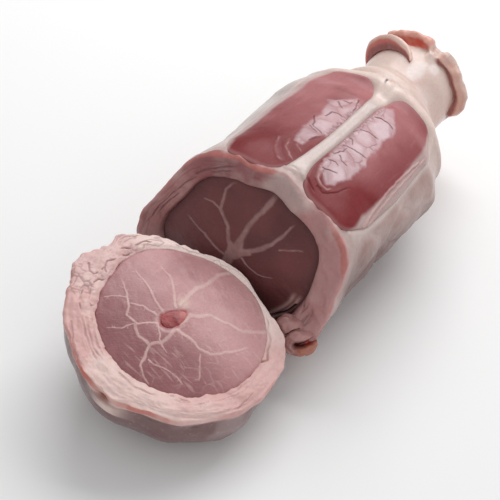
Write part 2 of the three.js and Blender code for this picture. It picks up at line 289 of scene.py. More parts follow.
def writePiece(name, bm, points, node, slotName, tint, wet):
    placed(bm, insideBox(points) * mm)
    mesh = bpy.data.meshes.new(name)
    bm.to_mesh(mesh)
    bm.free()
    colours = np.ones((len(tint), 4), np.float32)
    colours[:, :3] = np.clip(tint, 0, 1)
    mesh.attributes.new("tint", "FLOAT_COLOR", "POINT").data.foreach_set("color", colours.ravel())
    mesh.attributes.new("wet", "FLOAT", "POINT").data.foreach_set("value", wet.astype(np.float32))
    mesh.shade_smooth()
    mesh.materials.append(finishes[slotName])
    piece = bpy.data.objects.new(name, mesh)
    bpy.context.scene.collection.objects.link(piece)
    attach(piece, "root")
    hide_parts(node)
    print(name, len(mesh.vertices), "points", len(mesh.polygons), "faces")


# Colours and materials

def tone(red, green, blue):  # a colour as read off a screen, made linear
    value = np.array([red, green, blue]) / 255
    return np.where(value <= 0.04045, value / 12.92, ((value + 0.055) / 1.055) ** 2.4)


def painted(base, colour, mask):
    return base + (tone(*colour) - base) * np.clip(mask, 0, 1)[:, None]


def paintedOver(tint, tones, layers):  # each layer is the name of its tone and its mask
    for key, mask in layers:
        tint = painted(tint, tones[key], mask)
    return tint


def paint(count, tones, ground, layers):  # a ground tone on every point, with the layers over it
    return paintedOver(np.tile(tone(*tones[ground]), (count, 1)), tones, layers)


def newGroup(name, inputs, outputs):
    group = bpy.data.node_groups.new(name, "ShaderNodeTree")
    for label, kind in inputs:
        group.interface.new_socket(label, in_out="INPUT", socket_type="NodeSocket" + kind)
    for label in outputs:
        group.interface.new_socket(label, in_out="OUTPUT", socket_type="NodeSocketFloat")
    return group, group.nodes.new("NodeGroupInput"), group.nodes.new("NodeGroupOutput")


def addNode(tree, kind, settings, values, links):
    node = tree.nodes.new(kind)
    for key, value in settings.items():
        setattr(node, key, value)
    for key, value in values.items():
        node.inputs[key].default_value = value
    for key, source in links.items():
        tree.links.new(source, node.inputs[key])
    return node


def calculated(tree, operation, first, second, third=None):
    node = tree.nodes.new("ShaderNodeMath")
    node.operation = operation
    for index, value in enumerate((first, second, third)):
        if isinstance(value, (int, float)):
            node.inputs[index].default_value = value
        elif value is not None:
            tree.links.new(value, node.inputs[index])
    return node.outputs[0]


def mottleGroup():  # soft blotches with finer ones in them, as a factor around one
    group, start, end = newGroup(
        "fleshMottle", [("Vector", "Vector"), ("Scale", "Float"), ("Amount", "Float")], ["Factor"])
    broad = addNode(group, "ShaderNodeTexNoise", {}, {"Detail": 4.0, "Roughness": 0.6},
                    {"Vector": start.outputs["Vector"], "Scale": start.outputs["Scale"]})
    centred = calculated(group, "SUBTRACT", broad.outputs["Fac"], 0.5)
    scaled = calculated(group, "MULTIPLY", centred, start.outputs["Amount"])
    group.links.new(calculated(group, "MULTIPLY_ADD", scaled, 4.0, 1.0), end.inputs["Factor"])
    return group


def fibreGroup():  # fine strokes that run one way
    group, start, end = newGroup(
        "fleshFibre",
        [("Vector", "Vector"), ("Turn", "Vector"), ("Stretch", "Vector"), ("Threshold", "Float")],
        ["Mask", "Height"])
    turned = addNode(group, "ShaderNodeMapping", {"vector_type": "TEXTURE"}, {},
                     {"Vector": start.outputs["Vector"], "Rotation": start.outputs["Turn"]})
    stretched = addNode(group, "ShaderNodeVectorMath", {"operation": "MULTIPLY"}, {},
                        {0: turned.outputs[0], 1: start.outputs["Stretch"]})
    strokes = addNode(group, "ShaderNodeTexNoise", {}, {"Scale": 1.0, "Detail": 3.0, "Roughness": 0.55},
                      {"Vector": stretched.outputs[0]})
    threshold = start.outputs["Threshold"]
    above = calculated(group, "ADD", threshold, 0.14)
    cut = addNode(group, "ShaderNodeMapRange", {"interpolation_type": "SMOOTHSTEP"}, {},
                  {"Value": strokes.outputs["Fac"], "From Min": threshold, "From Max": above})
    group.links.new(cut.outputs["Result"], end.inputs["Mask"])
    group.links.new(strokes.outputs["Fac"], end.inputs["Height"])
    return group


def grainGroup():  # moist pitted grain for the bump, and an uneven film of moisture for the roughness
    group, start, end = newGroup(
        "fleshGrain", [("Vector", "Vector"), ("Scale", "Float"), ("Roughness", "Float"), ("Spread", "Float")],
        ["Height", "Roughness"])
    fine = addNode(group, "ShaderNodeTexNoise", {}, {"Detail": 5.0, "Roughness": 0.65},
                   {"Vector": start.outputs["Vector"], "Scale": start.outputs["Scale"]})
    pits = addNode(group, "ShaderNodeTexVoronoi", {"feature": "SMOOTH_F1"}, {"Smoothness": 0.6},
                   {"Vector": start.outputs["Vector"], "Scale": start.outputs["Scale"]})
    both = calculated(group, "MULTIPLY_ADD", pits.outputs["Distance"], 0.35, fine.outputs["Fac"])
    group.links.new(both, end.inputs["Height"])
    film = addNode(group, "ShaderNodeTexNoise", {}, {"Scale": 260.0, "Detail": 3.0},
                   {"Vector": start.outputs["Vector"]})
    centred = calculated(group, "SUBTRACT", film.outputs["Fac"], 0.5)
    moved = calculated(group, "MULTIPLY_ADD", centred, start.outputs["Spread"], start.outputs["Roughness"])
    group.links.new(moved, end.inputs["Roughness"])
    return group


mottle = mottleGroup()
fibre = fibreGroup()
grain = grainGroup()


def colourNodes(tree, look, place):  # the painted tint, mottled, with fine strokes over it
    tint = addNode(tree, "ShaderNodeAttribute", {"attribute_name": "tint"}, {}, {}).outputs["Color"]
    factors = []
    for scale, amount in (look["blotch"], look["speck"]):
        node = addNode(tree, "ShaderNodeGroup", {"node_tree": mottle}, {"Scale": scale, "Amount": amount},
                       {"Vector": place})
        factors.append(node.outputs[0])
    both = calculated(tree, "MULTIPLY", *factors)
    shaded = addNode(tree, "ShaderNodeVectorMath", {"operation": "SCALE"}, {}, {0: tint, "Scale": both})
    turn = [math.radians(angle) for angle in look["fibreTurn"]]
    strokes = addNode(tree, "ShaderNodeGroup", {"node_tree": fibre},
                      {"Turn": turn, "Stretch": look["fibreStretch"], "Threshold": look["fibreThreshold"]},
                      {"Vector": place})
    share = calculated(tree, "MULTIPLY", strokes.outputs["Mask"], look["fibre"])
    coloured = addNode(tree, "ShaderNodeMix", {"data_type": "RGBA"}, {7: (*tone(*look["fibreTone"]), 1)},
                       {0: share, 6: shaded.outputs[0]})
    return coloured.outputs[2], strokes.outputs["Height"]


def surfaceNodes(tree, look, place, wet, strokeHeight):  # roughness and bump, smoother where it is wet
    dryness = addNode(tree, "ShaderNodeMapRange", {}, {"To Min": look["rough"], "To Max": look["roughWet"]},
                      {"Value": wet})
    film = addNode(tree, "ShaderNodeGroup", {"node_tree": grain},
                   {"Scale": look["grainScale"], "Spread": look["roughSpread"]},
                   {"Vector": place, "Roughness": dryness.outputs["Result"]})
    heights = calculated(tree, "MULTIPLY_ADD", strokeHeight, look["fibreBump"], film.outputs["Height"])
    bump = addNode(tree, "ShaderNodeBump", {}, {"Strength": look["bump"], "Distance": look["bumpDepth"] * mm},
                   {"Height": heights})
    return film.outputs["Roughness"], bump.outputs[0]


def fleshMaterial(name, look):
    material = bpy.data.materials.new(name)
    material.use_nodes = True
    tree = material.node_tree
    tree.nodes.clear()
    output = tree.nodes.new("ShaderNodeOutputMaterial")
    shader = tree.nodes.new("ShaderNodeBsdfPrincipled")
    tree.links.new(shader.outputs[0], output.inputs[0])
    place = tree.nodes.new("ShaderNodeTexCoord").outputs["Object"]
    wet = addNode(tree, "ShaderNodeAttribute", {"attribute_name": "wet"}, {}, {}).outputs["Fac"]
    colour, strokeHeight = colourNodes(tree, look, place)
    roughness, normal = surfaceNodes(tree, look, place, wet, strokeHeight)
    linked = {"Base Color": colour, "Roughness": roughness, "Coat Weight": wet, "Normal": normal}
    for socket, source in linked.items():
        tree.links.new(source, shader.inputs[socket])
    uniform = {
        "Coat Roughness": look["coatRough"], "Coat IOR": look["filmIor"], "IOR": look["ior"],
        "Specular IOR Level": look["specular"], "Subsurface Weight": look["depth"],
        "Subsurface Radius": look["depthReach"], "Subsurface Scale": look["depthScale"] * mm,
    }
    for socket, value in uniform.items():
        shader.inputs[socket].default_value = value
    return material


fatLook = {
    "blotch": (90.0, 0.06), "speck": (900.0, 0.05), "fibre": 0.06, "fibreTone": (235, 218, 212),
    "fibreTurn": (0, 0, 8), "fibreStretch": (900, 160, 900), "fibreThreshold": 0.58, "fibreBump": 0.5,
    "rough": 0.5, "roughWet": 0.3, "roughSpread": 0.25, "coatRough": 0.2, "grainScale": 600.0,
    "bump": 0.5, "bumpDepth": 0.3, "depth": 0.16, "depthReach": (1.0, 0.5, 0.4), "depthScale": 2.0,
    "specular": 0.5, "ior": 1.42, "filmIor": 1.36,
}
leanLook = {
    **fatLook, "blotch": (120.0, 0.06), "speck": (1100.0, 0.07), "fibre": 0.09, "fibreTone": (225, 190, 188),
    "fibreTurn": (0, 0, 35), "fibreStretch": (300, 2600, 1600), "fibreThreshold": 0.6, "fibreBump": 0.6,
    "roughWet": 0.28, "coatRough": 0.22, "grainScale": 900.0, "depth": 0.12, "depthScale": 1.5,
}
recessLook = {**leanLook, "fibre": 0.05, "rough": 0.55, "depth": 0.08}
muscleLook = {
    **leanLook, "fibre": 0.06, "fibreTone": (200, 150, 150), "fibreTurn": (0, 0, 0),
    "fibreStretch": (2200, 260, 2200), "rough": 0.52, "roughWet": 0.3, "coatRough": 0.16,
    "bump": 0.35, "bumpDepth": 0.15, "depth": 0.1, "specular": 0.28,
}
sliceFatLook = {**fatLook, "fibre": 0.1, "rough": 0.58, "roughWet": 0.35}
marrowLook = {**leanLook, "fibre": 0.1, "roughWet": 0.25, "depth": 0.3}

finishes = {
    "shank_fat": fleshMaterial("skinAndFat", fatLook),
    # the recess's darkness is painted shade in its tint
    "shank_lean": fleshMaterial("shadedRecessLean", recessLook),
    "muscle": fleshMaterial("bareMuscle", muscleLook),
    "slice_fat": fleshMaterial("cutFat", sliceFatLook),
    "slice_lean": fleshMaterial("paleLean", leanLook),
    "slice_marrow": fleshMaterial("marrow", marrowLook),
}
print("materials made")


# The shank's form, given as radius, station behind the cut and angle from +X to +Z.
# A roll is an angle counted from +Z towards +X instead.

shank = {
    "shift": (0.894, -25.38),  # from the middle of the cut to the frame's origin
    "radius": 40, "shoulder": 86, "neckEnd": 113.5,
    "radii": [(0, 40), (45, 39.4), (70, 37.4), (86, 32), (96, 22.8), (105, 17), (115, 18.4), (126.5, 18.6)],
    "heightOverWidth": [(0, 0.81), (50, 0.77), (78, 0.77), (103, 1)],
    "middleHeights": [(0, 31.5), (50, 29.4), (75, 29.4), (103, 33)],
    "cutSwells": [(28, 17, 0.09), (62, 10, -0.05), (93, 14, -0.07), (128, 14, 0.02), (156, 14, -0.06),
                  (188, 20, 0.07)],
    "bodySwells": [(-35, 22, -0.03), (150, 24, 0.03)],
    "cutReach": 30, "slope": 0.593, "slopeBelow": 0.3, "slopeBlend": 16, "slopeFade": 1.25,
    "innerRadius": 30.4, "leanAside": 1.8, "recessDepth": 4.5, "domeHeight": 1.6, "crag": 1.1,
    "tip": {"angle": -31, "halfAngle": 9, "length": 9, "out": 1.5, "forward": 3.5},
    # lumps of the body: station, half length, roll, half width, share of the radius
    "bodyLumps": [(24, 11, -52, 24, -0.04), (42, 17, -62, 26, -0.055), (80, 6, -44, 22, 0.08),
                  (92, 6, -22, 28, -0.06), (34, 22, 108, 26, -0.07), (73, 6, 96, 22, 0.03),
                  (88, 5, 76, 22, -0.03)],
}


def shankPoint(radius, station, angle):
    form = shank
    turn = np.radians(angle)
    nearCut = 1 - smoothStep(0, form["cutReach"], station)
    outline = mix(1, swollen(1, form["cutSwells"], angle), nearCut)
    outline = swollen(outline, form["bodySwells"], angle)
    roll = turnBetween(90, angle)
    for middle, halfLength, towards, halfRoll, amount in form["bodyLumps"]:
        near = hump(station - middle, halfLength)
        outline = outline + amount * near * hump(turnBetween(roll, towards), halfRoll)
    rise = radius * outline * alongLine(form["heightOverWidth"], station) * np.sin(turn)
    slope = mix(form["slopeBelow"], form["slope"], smoothStep(-form["slopeBlend"], form["slopeBlend"], rise))
    fade = np.clip(1 - station / form["shoulder"], 0, 1) ** form["slopeFade"]
    inside = 1 - smoothStep(form["innerRadius"] + 1, form["radius"], radius)
    height = np.maximum(0, alongLine(form["middleHeights"], station) + rise)
    shiftX, shiftY = form["shift"]
    x = radius * outline * np.cos(turn) - form["leanAside"] * nearCut * inside + shiftX
    return stack(x, station + rise * slope * fade + shiftY, height)


shankShift = np.array([*shank["shift"], 0])


def unshifted(points):  # the lumps of the solids are laid out from the middle of the cut
    return points - shankShift


def unrolled(roll, station):  # a place on the shank's skin, laid out flat in millimetres
    return stack(np.radians(roll) * shank["radius"], station, 0)


def cragAt(points, amount):
    return amount * (noise(points, 7) + 0.6 * noise(points, 3.6))


def onSpot(spot, station, roll):  # 1 in the middle of a spot on the skin, fading round it
    return hump(station - spot["station"], spot["halfLength"]) * hump(roll - spot["roll"], spot["halfRoll"])


# The bare muscles; routes and outlines are lists of (station, roll)

muscles = {
    "muscle_left": {
        "piece": "muscleLeft", "roll": -13.5, "halfRoll": 24.5, "front": 0.6, "back": 88, "bulge": 2.3,
        "roundAt": -135, "ridgeRoll": 11, "facetShift": 12, "skinAndSheen": 0.74, "redReach": 48, "mostRed": 1,
        # the folds are lightened with their own pale tone and painted highlights, the furrows darkened with
        # painted shade
        "foldWidths": (1.6, 1.4), "foldHeight": 0.14, "foldPaleAndSheen": 0.1, "furrowDepth": 0.12, "furrowShade": 0.1,
        "lapped": (-27.2, -31.2), "lapFront": 4,  # from which roll to which the fat laps over the side
        "patch": [(22, 5.5), (22, 1), (28.5, -1.5), (42, -3), (49.5, -1.5), (55, -4), (61.5, -6.5),
                  (63, -2.5), (70, 5.5), (66, 10.4), (52, 10.8), (38, 10.6), (36, 8.5), (30, 5.5),
                  (27, 6.5)],
        "cracks": [[(48.8, 0.9), (53.3, 1.6), (54.3, 4.2), (53.8, 8)],
                   [(45.7, -3.4), (39.2, 0.1), (37.7, 4.2), (36.8, 8)],
                   [(38, -1.2), (35.4, 5.3)], [(27.7, 5.8), (31.8, 6.9), (34.9, 8.8)],
                   [(62.9, -1.5), (60.7, 0.3), (59.3, 4.1)], [(69.7, 6.6), (66.6, 7.4), (60.1, 9)],
                   [(64.7, 0.7), (65.2, 3.8), (66.9, 4.5)]],
        "folds": [[(20.5, -7.5), (14, -4.5), (9, 0.5), (6.3, 6.5)],
                  [(22, -2.5), (16, 0.5), (12, 4.6), (10, 9.6)], [(25, 1.5), (20, 3.8), (17, 9)]],
        "furrows": [[(18.5, -4.2), (13.2, -0.4), (8.6, 5), (7.8, 8)], [(22, 0), (16.5, 3), (13, 8.6)]],
        "laps": [],
    },
    "muscle_right": {
        "piece": "muscleRight", "roll": 40, "halfRoll": 23, "front": 0.6, "back": 87, "bulge": 2.5,
        "roundAt": 135, "ridgeRoll": 17, "facetShift": 4, "skinAndSheen": 0.9, "redReach": 40, "mostRed": 0.86,
        "foldWidths": (2.2, 0.6), "foldHeight": 0.4, "foldPaleAndSheen": 0.4, "furrowDepth": 0.4, "furrowShade": 0.3,
        "lapped": (52.6, 55.6), "lapFront": 0,
        "patch": [(15.3, 22.5), (11.2, 29.7), (14.8, 32.8), (25.4, 35.8), (37.2, 35), (41.5, 32.5),
                  (52.3, 33), (58.8, 32.5), (64.5, 35.1), (70.7, 29), (78.3, 24), (76, 20.6), (66.7, 17.6),
                  (52.9, 17.2), (42, 17.2), (31.6, 18), (20.9, 19.5)],
        "cracks": [[(38.1, 18.7), (39.2, 24.3), (40, 28), (41.2, 33)],
                   [(50.4, 18), (53.8, 20.1), (54.6, 24.5), (55.1, 30.7)],
                   [(66.2, 19.6), (67.5, 23.7), (67.4, 28.1), (66.3, 33)],
                   [(30.8, 22.4), (28.5, 25.7), (28.3, 29.7)], [(16.8, 22.3), (18.9, 25.7), (21.1, 29.9)],
                   [(29.2, 20), (33.2, 20.7), (34.3, 22.4), (38.6, 22)],
                   [(45, 18.4), (44.3, 21.1), (41.4, 22.7)], [(24, 21), (25.5, 24), (24.5, 27)]],
        "folds": [[(17, 21.6), (10.5, 24.5), (8.8, 28.5), (9.3, 31.5), (12.5, 34)]],
        "furrows": [[(7.5, 19.5), (5.6, 24), (4.2, 30)], [(7.4, 27.8), (6.9, 32.5), (11.5, 36), (23, 40)]],
        "laps": [[(17, 59), (28, 56.5), (37, 54.4), (47, 53.6), (56, 54.8), (66, 56.5)],
                 [(20, 61.3), (34, 58.3), (46, 57), (58, 57.8), (70, 58.4)]],
    },
}
muscleForm = {
    "corner": 5.0, "outerCorner": 2.3, "pillow": 3.4, "depth": 5.0, "underFrom": 6.5, "sunk": 0.5,
    "gridAlong": 330, "gridAcross": 148, "skinHeight": 0.12, "crackDepth": 0.3, "lapHeight": 0.45,
    # the clear skin's tone is its own paler colour with painted sheen
    "red": (151, 83, 86), "deepRed": (114, 18, 24), "rosy": (176, 114, 116), "skinAndSheen": (200, 172, 177),
    "crease": (100, 54, 60), "pale": (196, 156, 154), "silver": (194, 174, 170),
}


def onSkin(routes):  # routes of (station, roll) as millimetres across and along
    return [[(math.radians(roll) * shank["radius"], station) for station, roll in route] for route in routes]


def lobeReach(name, turn):  # the lobes are oblongs with one rounder corner: how far they reach at each turn
    rounder = hump(turnBetween(np.degrees(turn), muscles[name]["roundAt"]), 38)
    power = mix(muscleForm["corner"], muscleForm["outerCorner"], rounder)
    return (np.abs(np.cos(turn)) ** power + np.abs(np.sin(turn)) ** power) ** (-1 / power)


def muscleShare(name, station, roll):  # how far out a point lies in the muscle: 1 is its edge
    lobe = muscles[name]
    middle = (lobe["front"] + lobe["back"]) / 2
    along = (station - middle) / (lobe["back"] - middle)
    across = turnBetween(roll, lobe["roll"]) / lobe["halfRoll"]
    return np.hypot(along, across) / lobeReach(name, np.arctan2(across, along))


def muscleBlock():  # a grid with its rim turned down and closed underneath
    bm = bmesh.new()
    bmesh.ops.create_grid(bm, x_segments=muscleForm["gridAlong"], y_segments=muscleForm["gridAcross"], size=1)
    rim = [edge for edge in bm.edges if edge.is_boundary]
    down = bmesh.ops.extrude_edge_only(bm, edges=rim)["geom"]
    bmesh.ops.translate(bm, verts=[v for v in down if isinstance(v, bmesh.types.BMVert)], vec=(0, 0, -1))
    bmesh.ops.edgeloop_fill(bm, edges=[e for e in down if isinstance(e, bmesh.types.BMEdge)])
    return bm


def muscleWeb(name):  # the muscle's grid, and where each of its points lies
    lobe = muscles[name]
    bm = muscleBlock()
    co = np.array([v.co for v in bm.verts])
    u, v, under = co[:, 0], co[:, 1], co[:, 2] < -0.5
    square = np.maximum(np.maximum(np.abs(u), np.abs(v)), 1e-9)
    turn = np.arctan2(v, u)
    corner = lobeReach(name, turn)
    middle = (lobe["front"] + lobe["back"]) / 2
    station = middle + (lobe["back"] - middle) * square * corner * np.cos(turn)
    behind = np.maximum(station, muscleForm["underFrom"])  # the underside stays behind the rim's face
    at = SimpleNamespace(under=under, square=square, station=np.where(under, behind, station))
    at.roll = lobe["roll"] + lobe["halfRoll"] * square * corner * np.sin(turn)
    at.flat = unrolled(at.roll, at.station)
    at.bent = warped(at.flat, 3.2, 0.6, 3)
    return bm, at


def markClearSkin(lobe, at):  # the skin beside the ridge shines in flat facets between thin cracks
    flat, bent = at.flat, at.bent
    bx, by = bent[:, 0], bent[:, 1]
    inside = insideOutline(bx, by, onSkin([lobe["patch"]])[0]) + 0.5 * rough(flat, 3.4, 2, 40)
    at.skin = smoothStep(-0.9, 1.0, inside + 0.5 * rough(flat * [1, 0.4, 1], 1.2, 2, 47))
    crack = anyRoute(bx, by, onSkin(lobe["cracks"]), 0.42, 0.26, 0.85)
    at.border, at.facet = cells(bent * [1, 0.8, 1], 8.5, lobe["facetShift"])
    fewCracks = (1 - smoothStep(0.03, 0.16, at.border)) * patches(flat, 0.1, 0.4, 7, 2, 77)
    looped = 1 - smoothStep(0.03, 0.2, cells(warped(flat, 1.6, 0.5, 8), 2.4, 60)[0])
    toRidge = np.abs(at.roll - lobe["ridgeRoll"]) * math.radians(1) * shank["radius"]
    looped = looped * (1 - smoothStep(1.6, 3.4, toRidge)) * smoothStep(-1.5, 0.5, inside)
    fine = np.maximum(0.5 * fewCracks, 0.6 * looped) * smoothStep(-0.2, 0.6, inside)
    at.crack = np.maximum(crack, fine)


def markFolds(lobe, at):  # folds pushed up at the front, with furrows, and the fat that laps over the side
    bx, by = at.bent[:, 0], at.bent[:, 1]
    folds = onSkin(lobe["folds"])
    at.ridge = anyRoute(bx, by, folds, *lobe["foldWidths"], 0.7)
    # the shine is a painted highlight along the fold crests
    at.shine = anyRoute(bx, by, folds, 0.3, 0.5, 0.8) * patches(at.flat, -0.5, 0.4, 3, 2, 29)
    at.furrow = anyRoute(bx, by, onSkin(lobe["furrows"]), 0.9, 0.6, 0.6)
    at.lapFold = anyRoute(bx, by, onSkin(lobe["laps"]), 1.1, 0.7)
    drawnIn = lobe["lapFront"] * (1 - smoothStep(2, 18, at.station))
    at.lapped = smoothStep(*lobe["lapped"], at.roll + 1.3 * rough(at.flat, 7, 2, 31) - drawnIn)


def muscleLift(lobe, at):  # how far each point stands out from the shank
    form, flat, fullness = muscleForm, at.flat, muscleForm["pillow"]
    pillow = (1 - np.clip(at.square, 0, 1) ** fullness) ** (1 / fullness)
    lift = lobe["bulge"] * pillow - form["sunk"]
    lift = lift + 0.4 * rough(flat, 16, 3, 5) * pillow + 0.08 * rough(flat, 3.5, 2, 9)
    lift = lift - form["crackDepth"] * at.crack
    lift = lift + form["skinHeight"] * at.skin * smoothStep(0.1, 1.5, at.border)
    lift = lift + lobe["foldHeight"] * at.ridge - lobe["furrowDepth"] * at.furrow
    return np.where(at.under, -form["depth"], lift + form["lapHeight"] * at.lapFold)


def muscleTint(lobe, at):
    flat, station = at.flat, at.station
    outer = smoothStep(34, 52, at.roll)
    darker = 0.95 * at.front + 0.5 * outer * (1 - smoothStep(40, 80, station))
    patchy = 0.9 + 0.4 * rough(flat, 12, 2, 39)
    facets = at.skin * mix(0.62, 1, smoothStep(0.2, 2.6, at.border))
    return paint(len(flat), muscleForm, "red", [
        ("rosy", patches(flat, -0.2, 0.7, 22, 3, 21) * 0.6 * (1 - outer)),
        ("rosy", 0.6 * smoothStep(50, 80, station) * (1 - outer)),
        ("deepRed", patches(flat, 0.0, 0.8, 17, 3, 55) * 0.6),
        ("rosy", 0.3 * patches(flat * [3, 0.35, 1], 0.35, 0.7, 3.4, 2, 14)),
        ("deepRed", np.minimum(darker * patchy, lobe["mostRed"])),
        # the clear skin's facets: their own paler tone with painted sheen
        ("skinAndSheen", facets * lobe["skinAndSheen"] * (1 + 0.12 * at.facet)),
        # the folds' own pale tone with painted highlights along their crests
        ("pale", lobe["foldPaleAndSheen"] * at.ridge + 0.45 * at.shine),
        ("silver", 0.75 * at.lapped),
        ("pale", 0.7 * at.lapFold + 0.3 * smoothStep(0.94, 0.99, at.square)),
        # dark cracks, and painted shade in the furrows
        ("crease", 0.8 * at.crack + lobe["furrowShade"] * at.furrow),
    ])


def buildMuscle(name):
    lobe = muscles[name]
    bm, at = muscleWeb(name)
    markClearSkin(lobe, at)
    markFolds(lobe, at)
    radius = alongLine(shank["radii"], at.station) + muscleLift(lobe, at)
    points = shankPoint(radius, at.station, 90 - at.roll)
    at.front = 1 - smoothStep(14, lobe["redReach"], at.station)
    wet = np.clip(0.2 + 0.4 * at.skin - 0.3 * at.crack - 0.12 * at.front, 0, 1)
    writePiece(lobe["piece"], bm, points, name, "muscle", muscleTint(lobe, at), wet)


for name in muscles:
    buildMuscle(name)


# The jacket of fat and skin, from the hollow in its middle over the cut's rim to the neck's collar

jacketForm = {
    "steps": 430, "skinFrom": 6.3, "skinStep": 0.86, "rimRows": 56, "collarRows": 30,
    "core": [(0, 74), (10.45, 71.8), (19, 63), (25.5, 46), (25.5, 26), (30.2, 10.5), (30.2, 7.5)],
    "rim": [(30.2, 6.5), (30.4, 3.9), (31.3, 2.1), (33.6, 0.7), (37, -0.4), (39, -0.6), (40, 0.1),
            (40.2, 1.3), (40, 3), (40, 5.5)],
    "crest": (0.69, 0.735),  # where the rim's crest lies, as shares of the rim's line
    "cap": [(14, 124.1), (8, 122.5), (0, 122.5)],
    "dish": 6.0, "bead": 0.5, "lid": {"angle": 104, "halfAngle": 27, "amount": 1.5},
    "cord": {"roll": 13, "halfRoll": 4.5, "height": 1.5},
    "band": {"station": 89, "halfLength": 5, "height": 1.2, "roll": 20, "halfRoll": 60},
    "knot": {"station": 83.6, "halfLength": 3.2, "height": 0.6, "roll": 18.5, "halfRoll": 6},
    "flank": {"roll": 88, "halfRoll": 30, "height": 1.5, "size": 15, "pillow": 15},
    "leftFlank": {"roll": -62, "halfRoll": 26, "streakHeight": 0.16},
    "unevenness": 0.5, "unevennessSize": 11, "reliefRange": (1, 5, 108, 113),
    "lumps": {"rolls": (60, 70, 124, 146), "stations": (8, 18, 70, 88)},
    "top": {"station": 87, "halfLength": 9, "roll": 20, "halfRoll": 60},
    # a spot of painted light where the ridge meets the band
    "paintedLightSpot": {"station": 83, "halfLength": 7, "roll": 14, "halfRoll": 9},
    "nick": [(87.6, 10.9), (88.0, 11.2)],
    "nickTail": [(88.3, 13.5), (90.5, 18), (89, 25), (86, 33)],
    # glints: station, roll, half length, half width, strength
    "glints": [(109.5, 21, 5.5, 12, 0.6), (116.2, 35, 3, 8, 0.6), (101, 50, 9, 18, 0.25)],
    # wrinkles on the rim as (radius, angle) points
    "rimWrinkles": [[(33.1, 135), (33.7, 125), (35.6, 110), (37.4, 103)],
                    [(34.4, 151), (33.1, 144), (32, 133)], [(31.8, 123), (34.3, 107)],
                    [(34.4, 176), (35.2, 165), (35.4, 156), (33.4, 149)],
                    [(33, 170), (33.6, 160), (32.6, 150)]],
    # arcs of the rim: first angle, last, blend
    "arcs": {"dark": (72, 128, 16), "deepPink": (134, 176, 14), "ridge": (60, 82, 9),
             "wrinkles": (112, 182, 12), "layers": (-64, -12, 8)},
}
jacketTones = {
    # bright is used as painted light on the shoulder, neck and band; the collar's fold also takes it
    "cream": (214, 191, 181), "bright": (236, 216, 207), "glint": (240, 228, 227), "ridge": (202, 184, 179),
    "silver": (183, 170, 166), "streak": (214, 204, 200), "flank": (168, 137, 131),
    # low is painted shade for the lower right flank
    "flankLine": (198, 180, 174), "under": (186, 160, 155), "low": (114, 80, 76), "flush": (206, 168, 158),
    "deepPink": (150, 88, 86), "band": (186, 140, 138), "bandDark": (144, 87, 90), "crest": (178, 108, 101),
    # the wall tone is painted shade for the rim's inner wall, where it turns into the recess
    "wall": (112, 68, 69), "wrinkle": (104, 66, 70), "layerGapShade": (74, 40, 42), "spot": (66, 46, 40),
    "tip": (150, 84, 70), "salmon": (222, 158, 142), "orange": (198, 62, 34), "lip": (206, 158, 143),
    "tan": (198, 160, 137), "rollInside": (160, 100, 92),
}

# Collar outlines from the neck to its back, each as (radius, station); each serves a range of rolls
collarForm = {
    "neckRadius": 18.3,
    "farLip": [(18.3, 114), (18.3, 118.2), (18.5, 119.8), (19.3, 120.7), (20.4, 121), (21.4, 121.4),
               (22.2, 122.1), (22.6, 123.2), (22.1, 124.5), (20.3, 125.6), (17.5, 125.8)],
    "roll": [(18.3, 114), (18.3, 118), (18.2, 120.2), (18.3, 121), (19.6, 120.7), (20.7, 121), (21, 121.8),
             (21.3, 122.2), (22, 123.3), (21.8, 125), (20.3, 126), (17, 126)],
    "notch": [(18.3, 114), (18.4, 116), (19, 118), (19.7, 119.6), (19.5, 121.2), (18.9, 122.5), (19.6, 123.8),
              (19.2, 125), (17.3, 125.2)],
    "low": [(18.3, 114), (18.2, 115.4), (18.2, 117), (18.4, 119), (18.8, 120.6), (19.1, 122.2), (18.8, 124),
            (18, 125), (16.4, 125)],
    "ranges": {"farLip": (-40, 14, 6), "notch": (19, 27, 5), "roll": (31, 110, 5)},  # first roll, last, blend
    # how far the skin stands out at each roll, as a share of its outline
    "amounts": [(-60, 1), (11, 1), (16, 0.75), (21, 0.6), (26, 0.66), (31, 0.85), (36, 1.02), (41, 0.66),
                (48, 0.75), (56, 1.0), (66, 0.86), (75, 0.95), (84, 1.22), (93, 1.12), (101, 0.85),
                (108, 0.45), (113, 0.2), (120, 0.8), (180, 1)],
    "forward": [(100, 15, 5.0), (66, 14, 1.2), (34, 5, 1.0)],  # forwards: roll, half width, amount
    "fold": {"roll": 20, "halfRoll": 6, "station": 119.2, "halfLength": 1.8, "height": 1.1},
}


def collarPlace(row, roll):
    rows = jacketForm["collarRows"]
    names = ("farLip", "roll", "notch", "low")
    curves = {key: curveThrough(collarForm[key], rows) for key in names}
    weights = {}
    for key, (first, last, soft) in collarForm["ranges"].items():
        weights[key] = between(first, last, roll, soft)
    weights["low"] = np.maximum(0, 1 - sum(weights.values()))
    total = sum(weights.values())
    place = sum(curves[key][row] * (weights[key] / total)[:, None] for key in curves)
    radius, station = place[:, 0], place[:, 1]
    flat = stack(np.radians(roll) * 20, row * 0.4, 0)
    out = smoothStep(18.6, 20.5, radius)
    amount = np.interp(roll, *zip(*collarForm["amounts"])) + out * 0.26 * rough(flat, 5, 3, 3)
    beyond = np.maximum(radius - collarForm["neckRadius"], 0)
    radius = radius + beyond * (amount - 1) + out * 0.3 * noise(flat, 3.0, 9)
    leanBack = 0.5 * beyond * (1 - amount) * smoothStep(121, 124, station)
    station = station + out * 0.7 * rough(flat, 6, 3, 31) + leanBack
    onFold = onSpot(collarForm["fold"], station, roll)
    radius = radius + collarForm["fold"]["height"] * onFold
    for middle, width, amount in collarForm["forward"]:
        station = station - amount * hump(roll - middle, width) * smoothStep(114, 119, station)
    return radius, station, weights["farLip"] / total, weights["roll"] / total, onFold


